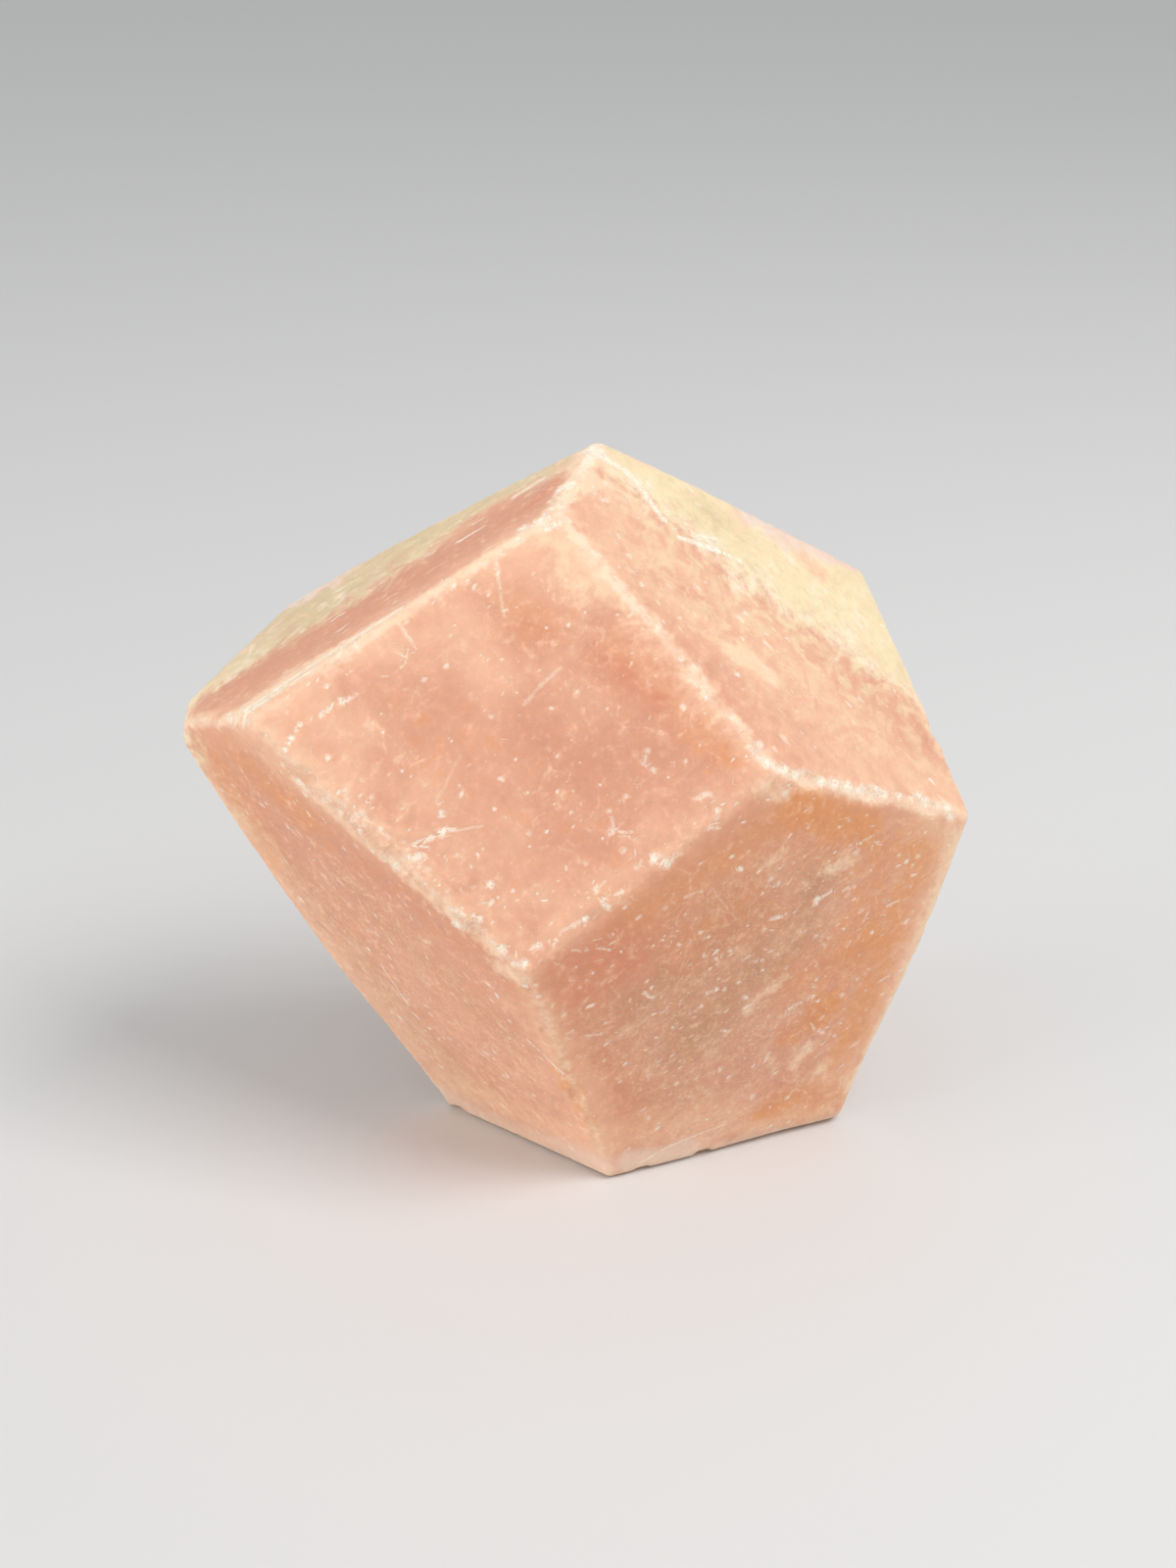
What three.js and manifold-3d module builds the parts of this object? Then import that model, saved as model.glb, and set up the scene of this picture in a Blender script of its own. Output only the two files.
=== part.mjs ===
// A polished freeform of pink opal: one solid stone, ground by hand into nine broad facets and a
// small blunt one at its left tip. The facets swell a little, as hand-ground ones do, the edges
// are softly worn, and a few chips are bitten out of them.
//
// Millimetres, +Z up, the front of the stone towards -Y and its right towards +X. It rests on its
// flat foot at z = 0. The origin is on the foot's level, below the middle of the stone's box.

import * as THREE from 'three';
import { mergeVertices } from 'three/addons/utils/BufferGeometryUtils.js';
import Module from 'manifold-3d';

const wasm = await Module();
wasm.setup();

// The heart is the point that the facets are measured from, this high above the foot.
const HEART = new THREE.Vector3(0, 0, 29);

// Facets. Each is ground square to a ray from the heart: the ray's bearing (degrees, 0 to the
// front, 90 to the right), its rise above level (degrees), and the facet's reach from the heart.
const FACETS = {
  foot: { bearing: 0, rise: -90, reach: HEART.z },
  face: { bearing: -1, rise: 26, reach: 18.4 },
  left_slope: { bearing: -74, rise: 60, reach: 29.0 },
  right_slope: { bearing: 50, rise: 46, reach: 23.4 },
  left_flank: { bearing: -38, rise: -20, reach: 20.5 },
  right_flank: { bearing: 23, rise: -6, reach: 18.5 },
  back: { bearing: -173, rise: 14, reach: 14.2 },
  back_left: { bearing: -146, rise: -18, reach: 14.1 },
  back_right: { bearing: 128, rise: -13, reach: 22.5 },
  left_tip: { bearing: -87, rise: 8, reach: 37.5 },
};

// Corners: the three facets that meet there, and how round wear has left it (radius, mm).
// An edge is as round as the corners at its ends, and changes evenly between them.
const CORNERS = {
  crown: { facets: ['left_slope', 'right_slope', 'back'], wear: 1.3 },
  brow_top: { facets: ['face', 'left_slope', 'right_slope'], wear: 2.0 },
  brow_left: { facets: ['face', 'left_slope', 'left_flank'], wear: 1.5 },
  brow_right: { facets: ['face', 'right_slope', 'right_flank'], wear: 2.0 },
  chin: { facets: ['face', 'left_flank', 'right_flank'], wear: 1.8 },
  shoulder_left: { facets: ['left_slope', 'back', 'back_left'], wear: 1.3 },
  shoulder_right: { facets: ['right_slope', 'back', 'back_right'], wear: 1.6 },
  elbow: { facets: ['right_slope', 'right_flank', 'back_right'], wear: 1.3 },
  tip_front: { facets: ['left_tip', 'left_slope', 'left_flank'], wear: 1.0 },
  tip_top: { facets: ['left_tip', 'left_slope', 'back_left'], wear: 1.0 },
  tip_low: { facets: ['left_tip', 'left_flank', 'back_left'], wear: 1.0 },
  rump: { facets: ['back', 'back_left', 'back_right'], wear: 2.0 },
  toe: { facets: ['foot', 'left_flank', 'right_flank'], wear: 1.1 },
  heel_left: { facets: ['foot', 'left_flank', 'back_left'], wear: 1.0 },
  heel_right: { facets: ['foot', 'right_flank', 'back_right'], wear: 1.9 },
  heel_back: { facets: ['foot', 'back_left', 'back_right'], wear: 1.2 },
};

// How finely the rounding, the edges' length and the facets are divided.
const WEAR_STEPS = 4;
const EDGE_STEPS = 6;
const FACET_RINGS = 3;

// The swell: facets and edges bulge by this share of their distance from the heart. It fades out
// towards the tips, which are about the swell's end away, and over this height above the foot.
const SWELL = 0.061;
const SWELL_END = 40;
const FOOT_FADE = 20;

// Chips bitten out of the edges: the two corners that the edge runs between, how far along it the
// chip is (0 to 1), the radius of the ball that fits the bite, and its depth (mm).
const CHIPS = [
  { edge: ['shoulder_left', 'tip_top'], along: 0.23, ball: 3.0, depth: 0.5 },
  { edge: ['shoulder_right', 'elbow'], along: 0.68, ball: 3.4, depth: 0.45 },
  { edge: ['crown', 'shoulder_right'], along: 0.52, ball: 5.0, depth: 0.3 },
  { edge: ['crown', 'brow_top'], along: 0.72, ball: 3.0, depth: 0.4 },
  { edge: ['brow_top', 'brow_right'], along: 0.62, ball: 5.0, depth: 0.3 },
  { edge: ['brow_right', 'elbow'], along: 0.16, ball: 3.2, depth: 0.4 },
  { edge: ['brow_right', 'elbow'], along: 0.48, ball: 4.4, depth: 0.35 },
  { edge: ['brow_right', 'elbow'], along: 0.8, ball: 3.0, depth: 0.35 },
  { edge: ['brow_left', 'tip_front'], along: 0.35, ball: 2.6, depth: 0.4 },
  { edge: ['brow_left', 'chin'], along: 0.2, ball: 3.0, depth: 0.35 },
  { edge: ['brow_left', 'chin'], along: 0.55, ball: 4.2, depth: 0.45 },
  { edge: ['brow_left', 'chin'], along: 0.84, ball: 3.0, depth: 0.4 },
  { edge: ['brow_right', 'chin'], along: 0.72, ball: 4.0, depth: 0.35 },
  { edge: ['chin', 'toe'], along: 0.58, ball: 3.2, depth: 0.35 },
  { edge: ['toe', 'heel_right'], along: 0.4, ball: 2.6, depth: 0.3 },
  { edge: ['shoulder_right', 'rump'], along: 0.4, ball: 4.6, depth: 0.4 },
  { edge: ['rump', 'heel_back'], along: 0.55, ball: 3.6, depth: 0.4 },
  { edge: ['shoulder_left', 'rump'], along: 0.6, ball: 3.4, depth: 0.35 },
];
const BALL_DETAIL = 3;

// Points closer together than this are one point (mm).
const SAME_POINT = 1e-5;

// The outward direction of a facet.
function facetNormal(name) {
  const { bearing, rise } = FACETS[name];
  const turn = THREE.MathUtils.degToRad(bearing);
  const lift = THREE.MathUtils.degToRad(rise);
  return new THREE.Vector3(
    Math.sin(turn) * Math.cos(lift),
    -Math.cos(turn) * Math.cos(lift),
    Math.sin(lift),
  );
}

// The middle of the ball of radius `wear` that touches all three facets of a corner from inside.
function cornerCentre({ facets, wear }) {
  const [a, b, c] = facets.map(facetNormal);
  const [reachA, reachB, reachC] = facets.map((name) => FACETS[name].reach - wear);
  const point = new THREE.Vector3().crossVectors(b, c).multiplyScalar(reachA);
  point.addScaledVector(new THREE.Vector3().crossVectors(c, a), reachB);
  point.addScaledVector(new THREE.Vector3().crossVectors(a, b), reachC);
  point.divideScalar(a.dot(new THREE.Vector3().crossVectors(b, c)));
  return point.add(HEART);
}

// The point on the worn edge between two corners, `along` it and looking out in `direction`.
function edgePoint(from, to, along, direction) {
  const wear = THREE.MathUtils.lerp(from.wear, to.wear, along);
  const centre = cornerCentre(from).lerp(cornerCentre(to), along);
  return centre.addScaledVector(direction, wear);
}

// The corners around a facet, in order.
function cornersAround(name) {
  const normal = facetNormal(name);
  const corners = Object.values(CORNERS).filter(({ facets }) => facets.includes(name));
  const middle = new THREE.Vector3();
  for (const corner of corners) {
    middle.addScaledVector(cornerCentre(corner), 1 / corners.length);
  }
  const across = cornerCentre(corners[0]).sub(middle).projectOnPlane(normal);
  const along = new THREE.Vector3().crossVectors(normal, across);
  const angle = (corner) => {
    const arm = cornerCentre(corner).sub(middle);
    return Math.atan2(arm.dot(along), arm.dot(across));
  };
  return corners.sort((one, other) => angle(one) - angle(other));
}

// A point moved out from the heart by the swell.
function swollen(point) {
  const arm = point.clone().sub(HEART);
  const towardsTip = arm.lengthSq() / SWELL_END ** 2;
  const aboveFoot = THREE.MathUtils.smoothstep(point.z, 0, FOOT_FADE);
  return arm.multiplyScalar(1 + SWELL * (1 - towardsTip) * aboveFoot).add(HEART);
}

// The skin as loose triangles, each turned to look away from the heart.
const skin = [];
function addTriangle(a, b, c) {
  const triangle = new THREE.Triangle(a, b, c);
  if (triangle.getArea() < SAME_POINT) {
    return;
  }
  const outward = triangle.getNormal(new THREE.Vector3()).dot(a.clone().sub(HEART)) > 0;
  for (const point of outward ? [a, b, c] : [a, c, b]) {
    skin.push(...swollen(point).toArray());
  }
}

// Two triangles for each cell between neighbouring rows of points.
function addRows(rows) {
  for (let i = 1; i < rows.length; i += 1) {
    for (let j = 1; j < rows[i].length; j += 1) {
      addTriangle(rows[i - 1][j - 1], rows[i][j - 1], rows[i][j]);
      addTriangle(rows[i - 1][j - 1], rows[i][j], rows[i - 1][j]);
    }
  }
}

// A facet, as rings that grow from its middle to the start of its worn edges.
function addFacet(name) {
  const normal = facetNormal(name);
  const corners = cornersAround(name);
  const rim = corners.flatMap((corner, i) => {
    const next = corners[(i + 1) % corners.length];
    return Array.from({ length: EDGE_STEPS }, (_, step) => (
      edgePoint(corner, next, step / EDGE_STEPS, normal)
    ));
  });
  rim.push(rim[0]);
  const middle = new THREE.Vector3();
  for (const corner of corners) {
    middle.addScaledVector(edgePoint(corner, corner, 0, normal), 1 / corners.length);
  }
  const rings = name === 'foot' ? 1 : FACET_RINGS;
  const rows = Array.from({ length: rings + 1 }, (_, ring) => (
    rim.map((point) => middle.clone().lerp(point, ring / rings))
  ));
  addRows(rows);
}

// The worn edge between two corners, rounded from one of its facets to the other.
function addEdge(from, to) {
  const shared = from.facets.filter((name) => to.facets.includes(name));
  if (shared.length !== 2) {
    return;
  }
  const [start, end] = shared.map(facetNormal);
  const rows = Array.from({ length: WEAR_STEPS + 1 }, (_, i) => {
    const direction = start.clone().multiplyScalar(WEAR_STEPS - i).addScaledVector(end, i);
    direction.normalize();
    return Array.from({ length: EDGE_STEPS + 1 }, (__, j) => (
      edgePoint(from, to, j / EDGE_STEPS, direction)
    ));
  });
  addRows(rows);
}

// A worn corner: the part of its ball that looks out between its three facets.
function addCorner(corner) {
  const [a, b, c] = corner.facets.map(facetNormal);
  const at = (i, j) => {
    const direction = a.clone().multiplyScalar(WEAR_STEPS - i - j);
    direction.addScaledVector(b, i).addScaledVector(c, j).normalize();
    return edgePoint(corner, corner, 0, direction);
  };
  for (let i = 0; i < WEAR_STEPS; i += 1) {
    for (let j = 0; j < WEAR_STEPS - i; j += 1) {
      addTriangle(at(i, j), at(i + 1, j), at(i, j + 1));
      if (i + j < WEAR_STEPS - 1) {
        addTriangle(at(i + 1, j), at(i + 1, j + 1), at(i, j + 1));
      }
    }
  }
}

// A closed geometry as a solid that can be cut.
function solidOf(geometry) {
  geometry.deleteAttribute('normal');
  geometry.deleteAttribute('uv');
  const merged = mergeVertices(geometry, SAME_POINT);
  return new wasm.Manifold(new wasm.Mesh({
    numProp: 3,
    vertProperties: Float32Array.from(merged.attributes.position.array),
    triVerts: Uint32Array.from(merged.index.array),
  }));
}

// A solid as a geometry again.
function geometryOf(solid) {
  const mesh = solid.getMesh();
  const geometry = new THREE.BufferGeometry();
  geometry.setAttribute('position', new THREE.BufferAttribute(mesh.vertProperties, 3));
  geometry.setIndex(new THREE.BufferAttribute(mesh.triVerts, 1));
  return geometry;
}

// The stone as ground and worn, before its chips.
function groundStone() {
  const corners = Object.values(CORNERS);
  Object.keys(FACETS).forEach(addFacet);
  corners.forEach(addCorner);
  corners.forEach((from, i) => corners.slice(i + 1).forEach((to) => addEdge(from, to)));
  const geometry = new THREE.BufferGeometry();
  geometry.setAttribute('position', new THREE.Float32BufferAttribute(skin, 3));
  return solidOf(geometry);
}

// The ball that bites one chip, sunk to the chip's depth into its worn edge. Its facets leave
// the bite slightly angular, as broken opal is.
function chipBall({ edge, along, ball, depth }) {
  const [from, to] = edge.map((name) => CORNERS[name]);
  const [start, end] = from.facets.filter((name) => to.facets.includes(name)).map(facetNormal);
  const outward = start.add(end).normalize();
  const centre = swollen(edgePoint(from, to, along, outward));
  centre.addScaledVector(outward, ball - depth);
  const geometry = new THREE.IcosahedronGeometry(ball, BALL_DETAIL);
  geometry.rotateZ(2 * Math.PI * along);
  geometry.translate(centre.x, centre.y, centre.z);
  return solidOf(geometry);
}

// The whole stone, with the chips cut out and the origin below the middle of its box.
function stoneGeometry() {
  const chipped = CHIPS.reduce((stone, chip) => stone.subtract(chipBall(chip)), groundStone());
  const geometry = geometryOf(chipped);
  geometry.computeBoundingBox();
  const middle = geometry.boundingBox.getCenter(new THREE.Vector3());
  geometry.translate(-middle.x, -middle.y, 0);
  geometry.computeVertexNormals();
  return geometry;
}

const pinkOpal = new THREE.MeshStandardMaterial({
  name: 'pink_opal',
  color: 0xe2aa90,
  roughness: 0.42,
  metalness: 0,
});

const stone = new THREE.Mesh(stoneGeometry(), pinkOpal);
stone.name = 'opal_stone';

const opalFreeform = new THREE.Group();
opalFreeform.add(stone);

export default opalFreeform;
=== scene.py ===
"""A freeform of pink common opal: one stone, ground by hand into ten facets and softly polished.

The stone's fine surface is worked out from the same facets, corners and swell as its plain solid,
then worn, rippled and chipped by a Geometry Nodes tree. Its colours are one procedural material:
pink body, a cream seam that runs through the stone, milky veins, stains, pale worn edges, and
painted highlight, glow and shade where the light falls on some facets, edges and rims.

Sizes of the stone are in millimetres in this file, and its finished mesh is in metres.
"""

import itertools
import math
import random
from functools import reduce
from types import SimpleNamespace

import bmesh
import bpy
import numpy as np
from bpy.props import FloatProperty, FloatVectorProperty, IntProperty, PointerProperty
from bpy.types import Operator, Panel, PropertyGroup
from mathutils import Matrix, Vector
from mathutils.bvhtree import BVHTree


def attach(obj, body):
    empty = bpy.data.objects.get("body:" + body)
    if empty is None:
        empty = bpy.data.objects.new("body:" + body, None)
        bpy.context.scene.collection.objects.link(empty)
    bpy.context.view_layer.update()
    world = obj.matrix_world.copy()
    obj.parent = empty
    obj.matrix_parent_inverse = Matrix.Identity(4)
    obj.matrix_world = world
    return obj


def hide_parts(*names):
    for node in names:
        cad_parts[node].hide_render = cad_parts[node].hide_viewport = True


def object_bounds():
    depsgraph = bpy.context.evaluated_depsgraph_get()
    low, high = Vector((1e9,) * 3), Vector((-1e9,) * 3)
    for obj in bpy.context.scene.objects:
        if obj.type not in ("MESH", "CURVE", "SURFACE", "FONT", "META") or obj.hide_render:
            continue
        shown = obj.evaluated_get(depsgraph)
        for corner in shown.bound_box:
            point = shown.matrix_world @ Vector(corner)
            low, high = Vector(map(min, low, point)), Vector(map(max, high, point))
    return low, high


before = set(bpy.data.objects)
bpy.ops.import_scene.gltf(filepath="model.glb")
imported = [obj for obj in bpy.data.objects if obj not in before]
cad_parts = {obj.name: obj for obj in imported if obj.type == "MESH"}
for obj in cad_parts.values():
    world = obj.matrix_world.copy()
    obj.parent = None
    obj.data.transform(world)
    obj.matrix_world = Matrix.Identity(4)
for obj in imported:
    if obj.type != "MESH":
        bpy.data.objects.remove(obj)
cad_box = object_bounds()

bl_info = {
    "name": "Pink opal freeform",
    "version": (1, 0, 0),
    "blender": (4, 5, 0),
    "location": "3D View > Sidebar > Opal",
    "description": "Makes a hand-ground pink opal freeform and the stage it stands on",
    "category": "Add Mesh",
}

NODE = "opal_stone"
PIECE = "opal_freeform"
BODY = "root"

MM = 0.001

# --- The stone's form ---

# The heart is the point that the facets are measured from.
HEART = np.array((1.0276, 1.4951, 29.0))

# Each facet is square to a ray from the heart: its bearing (0 to the front, 90 to the right) and
# rise above level in degrees, and its reach from the heart.
FACETS = {
    "foot": (0, -90, 29.0),
    "face": (-1, 26, 18.4),
    "left_slope": (-74, 60, 29.0),
    "right_slope": (50, 46, 23.4),
    "left_flank": (-38, -20, 20.5),
    "right_flank": (23, -6, 18.5),
    "back": (-173, 14, 14.2),
    "back_left": (-146, -18, 14.1),
    "back_right": (128, -13, 22.5),
    "left_tip": (-87, 8, 37.5),
}

# How each facet was finished: the direction in which it was last ground, how coarse its polish
# was left (0 to 1), and how many times longer than wide its grinding marks are.
FINISHES = {
    "foot": ((1.0, 0.2, 0.0), 1.0, 6.0),
    "face": ((0.7, 0.0, 0.7), 0.2, 1.4),
    "left_slope": ((0.85, 0.2, 0.5), 0.8, 7.0),
    "right_slope": ((0.65, -0.2, -0.7), 0.45, 2.2),
    "left_flank": ((0.62, -0.15, -0.75), 1.0, 2.0),
    "right_flank": ((0.8, 0.2, 0.55), 1.0, 1.8),
    "back": ((0.9, 0.0, 0.4), 0.5, 7.0),
    "back_left": ((0.5, 0.4, -0.8), 0.8, 5.0),
    "back_right": ((0.3, 0.5, 0.8), 0.8, 5.0),
    "left_tip": ((0.0, 1.0, 0.3), 0.7, 4.0),
}

# How pale each edge is (0 to 1), by the two facets that meet there: from wear, and at two edges
# also painted highlight.
USUAL_PALENESS = 0.5
PALENESS = {
    # Partly painted highlight: the face's top edge with the right slope is paler for the light on
    # its crest.
    ("face", "right_slope"): 0.42,
    ("face", "left_slope"): 0.35,
    ("right_slope", "right_flank"): 0.62,
    ("left_slope", "right_slope"): 0.75,
    ("left_slope", "left_flank"): 0.6,
    ("face", "left_flank"): 0.3,
    ("face", "right_flank"): 0.08,
    ("left_flank", "right_flank"): 0.15,
    # Painted highlight: the right flank's rim with the back is pale for the light that catches it.
    ("right_flank", "back_right"): 0.9,
    ("left_flank", "back_left"): 0.5,
    ("foot", "left_flank"): 0.3,
    ("foot", "right_flank"): 0.3,
}

# How far a facet is paled beside its edge with another, by bleaching and at two rims also as
# painted highlight, and how crowded small chips are there (0 to 1 each), by the facet and the
# other one.
USUAL_RIM = (0.35, 0.3)
RIMS = {
    ("face", "left_slope"): (0.4, 0.35),
    # Partly painted highlight: the top of the face beside the right slope is paled for the light
    # on it.
    ("face", "right_slope"): (0.75, 0.3),
    ("face", "left_flank"): (0.75, 0.8),
    ("face", "right_flank"): (0.4, 0.5),
    ("left_slope", "face"): (0.25, 0.2),
    ("left_slope", "right_slope"): (0.3, 0.5),
    ("right_slope", "face"): (0.25, 0.4),
    ("right_slope", "left_slope"): (0.6, 0.6),
    ("right_slope", "right_flank"): (0.35, 0.4),
    ("left_flank", "face"): (0.0, 0.1),
    ("left_flank", "left_slope"): (0.1, 0.2),
    ("left_flank", "right_flank"): (0.3, 0.2),
    ("right_flank", "face"): (0.0, 0.1),
    ("right_flank", "left_flank"): (0.6, 0.3),
    ("right_flank", "right_slope"): (0.1, 0.3),
    # Painted highlight: the right flank beside its rim with the back is paled for the light that
    # catches it.
    ("right_flank", "back_right"): (0.75, 0.3),
}

# Corners: the three facets that meet there, and the radius that wear has left on them.
CORNERS = {
    "crown": (("left_slope", "right_slope", "back"), 1.3),
    "brow_top": (("face", "left_slope", "right_slope"), 2.0),
    "brow_left": (("face", "left_slope", "left_flank"), 1.5),
    "brow_right": (("face", "right_slope", "right_flank"), 2.0),
    "chin": (("face", "left_flank", "right_flank"), 1.8),
    "shoulder_left": (("left_slope", "back", "back_left"), 1.3),
    "shoulder_right": (("right_slope", "back", "back_right"), 1.6),
    "elbow": (("right_slope", "right_flank", "back_right"), 1.3),
    "tip_front": (("left_tip", "left_slope", "left_flank"), 1.0),
    "tip_top": (("left_tip", "left_slope", "back_left"), 1.0),
    "tip_low": (("left_tip", "left_flank", "back_left"), 1.0),
    "rump": (("back", "back_left", "back_right"), 2.0),
    "toe": (("foot", "left_flank", "right_flank"), 1.1),
    "heel_left": (("foot", "left_flank", "back_left"), 1.0),
    "heel_right": (("foot", "right_flank", "back_right"), 1.9),
    "heel_back": (("foot", "back_left", "back_right"), 1.2),
}

# The swell: how much the facets bulge, how far from the heart it ends, and the height above the
# foot over which it fades in.
SWELL = 0.061
SWELL_END = 40.0
FOOT_FADE = 20.0

# A corner's wear counts at a point by this power of its nearness.
NEARNESS = 4
# Newton steps that bring a ray from the heart onto the worn surface.
RAY_STEPS = 5
TINY = 1e-6
# Where the plain solid lies this much (mm) inside the worn surface, a chip starts and is whole.
BITE_STARTS = 0.04
BITE_IS_WHOLE = 0.24
# The two surfaces agree within this (mm), apart from chips.
AGREEMENT = 0.3
# How far apart (mm) two edges are when neither decides a point's paleness alone.
EDGE_BLEND = 0.3
# How far apart (mm) the grinding patterns of neighbouring facets are set.
PATTERN_SHIFT = 60.0


def direction_of(bearing, rise):
    """The direction from the heart with this bearing and rise, which is a facet's normal too."""
    turn = math.radians(bearing)
    lift = math.radians(rise)
    level = math.cos(lift)
    return (math.sin(turn) * level, -math.cos(turn) * level, math.sin(lift))


NAMES = list(FACETS)
NORMALS = np.array([direction_of(bearing, rise) for bearing, rise, _ in FACETS.values()])
REACHES = np.array([reach for _, _, reach in FACETS.values()])
STROKES = np.array([FINISHES[name][0] for name in NAMES])
COARSENESS = np.array([FINISHES[name][1] for name in NAMES])
STRETCHES = np.array([FINISHES[name][2] for name in NAMES])
WEARS = np.array([wear for _, wear in CORNERS.values()])


def facet_numbers(corner):
    """The numbers of the facets that meet at a corner."""
    facets, _ = CORNERS[corner]
    return sorted(NAMES.index(name) for name in facets)


def corner_points():
    """The sharp corners, from the heart."""
    meeting = [facet_numbers(corner) for corner in CORNERS]
    return np.array([np.linalg.solve(NORMALS[three], REACHES[three]) for three in meeting])


def meetings():
    """The sets of facets that share a place: one facet, two at an edge, three at a corner."""
    found = {(number,) for number in range(len(NAMES))}
    for corner in CORNERS:
        numbers = facet_numbers(corner)
        found.add(tuple(numbers))
        found.update(itertools.combinations(numbers, 2))
    return sorted(found, key=lambda numbers: (len(numbers), numbers))


CORNER_POINTS = corner_points()
MEETINGS = meetings()


def smoothstep(value):
    """0 below 0, 1 above 1, and smooth between."""
    share = np.clip(value, 0.0, 1.0)
    return share * share * (3 - 2 * share)


def wear_at(points):
    """The radius of wear near each point: that of the corners around it, by nearness."""
    arms = points[:, None, :] - CORNER_POINTS[None, :, :]
    nearness = 1 / (np.linalg.norm(arms, axis=2) + TINY) ** NEARNESS
    return (nearness * WEARS).sum(axis=1) / nearness.sum(axis=1)


def beyond_core(points, wear):
    """How far points lie outside the core, which is the sharp stone less its wear, and which way.

    Nearest on the core may be a facet, an edge or a corner. Each set of facets gives a push that
    brings the point back to where they meet, and the longest fair push is the true one.
    """
    beyond = points @ NORMALS.T - REACHES + wear[:, None]
    distance = np.zeros(len(points))
    outward = np.zeros_like(points)
    for numbers in MEETINGS:
        normals = NORMALS[list(numbers)]
        shares = beyond[:, list(numbers)] @ np.linalg.inv(normals @ normals.T)
        push = shares @ normals
        length = np.linalg.norm(push, axis=1)
        better = (shares >= 0).all(axis=1) & (length > distance)
        distance[better] = length[better]
        outward[better] = push[better] / length[better, None]
    return distance, outward


def sharp_radius(directions):
    """How far a ray from the heart runs to the sharp stone."""
    facing = directions @ NORMALS.T
    runs = np.where(facing > TINY, REACHES / np.maximum(facing, TINY), np.inf)
    return runs.min(axis=1)


def worn_radius(directions, wear_share):
    """How far a ray from the heart runs to the worn stone, before its swell."""
    radius = sharp_radius(directions)
    wear = wear_share * wear_at(radius[:, None] * directions)
    for _ in range(RAY_STEPS):
        distance, outward = beyond_core(radius[:, None] * directions, wear)
        radius = radius - (distance - wear) / (outward * directions).sum(axis=1)
    return radius


def swollen_radius(radius, directions):
    """The same rays with the facets' swell."""
    height = HEART[2] + radius * directions[:, 2]
    share = SWELL * (1 - (radius / SWELL_END) ** 2) * smoothstep(height / FOOT_FADE)
    return radius * (1 + share)


def edge_distances(points):
    """Each point's facet, and how far it is from that facet's meeting with every other one."""
    rows = np.arange(len(points))
    beyond = points @ NORMALS.T - REACHES
    facet = beyond.argmax(axis=1)
    sines = np.sqrt(np.maximum(1 - (NORMALS @ NORMALS.T) ** 2, TINY))
    distances = (beyond[rows, facet][:, None] - beyond) / sines[facet]
    distances[rows, facet] = np.inf
    return facet, distances


def paleness_table():
    """How pale the edge between any two facets is."""
    table = np.full((len(NAMES), len(NAMES)), USUAL_PALENESS)
    for (first, second), pale in PALENESS.items():
        table[NAMES.index(first), NAMES.index(second)] = pale
        table[NAMES.index(second), NAMES.index(first)] = pale
    return table


def rim_table(which):
    """How pale each facet is beside any other, by bleaching and at two rims painted highlight (0),
    or how chipped (1).
    """
    table = np.full((len(NAMES), len(NAMES)), USUAL_RIM[which])
    for (facet, other), values in RIMS.items():
        table[NAMES.index(facet), NAMES.index(other)] = values[which]
    return table


def from_edges(table, facet, distances):
    """A table's value at each point, the nearest edges counting most."""
    nearness = 1 / (np.maximum(distances, 0) + EDGE_BLEND) ** 2
    return (nearness * table[facet]).sum(axis=1) / nearness.sum(axis=1)


def grinding_coordinates(points, facet):
    """Each point's place along and across its facet's grinding marks, shrunk along them."""
    normals = NORMALS[facet]
    strokes = STROKES[facet]
    along = strokes - (strokes * normals).sum(axis=1)[:, None] * normals
    along /= np.linalg.norm(along, axis=1)[:, None]
    across = np.cross(normals, along)
    run = (points * along).sum(axis=1) / STRETCHES[facet] + facet * PATTERN_SHIFT
    return np.stack((run, (points * across).sum(axis=1), np.zeros(len(points))), axis=1)


def directions_of(mesh):
    """The directions of a mesh's vertices from the heart."""
    places = np.empty(len(mesh.vertices) * 3)
    mesh.vertices.foreach_get("co", places)
    arms = places.reshape(-1, 3) / MM - HEART
    return arms / np.linalg.norm(arms, axis=1)[:, None]


def plain_radius(directions):
    """How far a ray from the heart runs to the plain solid, its chips included."""
    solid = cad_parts[NODE].data
    corners = [vertex.co / MM for vertex in solid.vertices]
    faces = [tuple(polygon.vertices) for polygon in solid.polygons]
    tree = BVHTree.FromPolygons(corners, faces)
    heart = Vector(HEART)
    runs = [tree.ray_cast(heart, Vector(direction))[3] for direction in directions]
    if None in runs:
        raise RuntimeError("the plain solid has a hole: a ray from its heart leaves unstopped")
    return np.array(runs)


# --- Where the stone's colour and surface are marked ---

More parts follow.
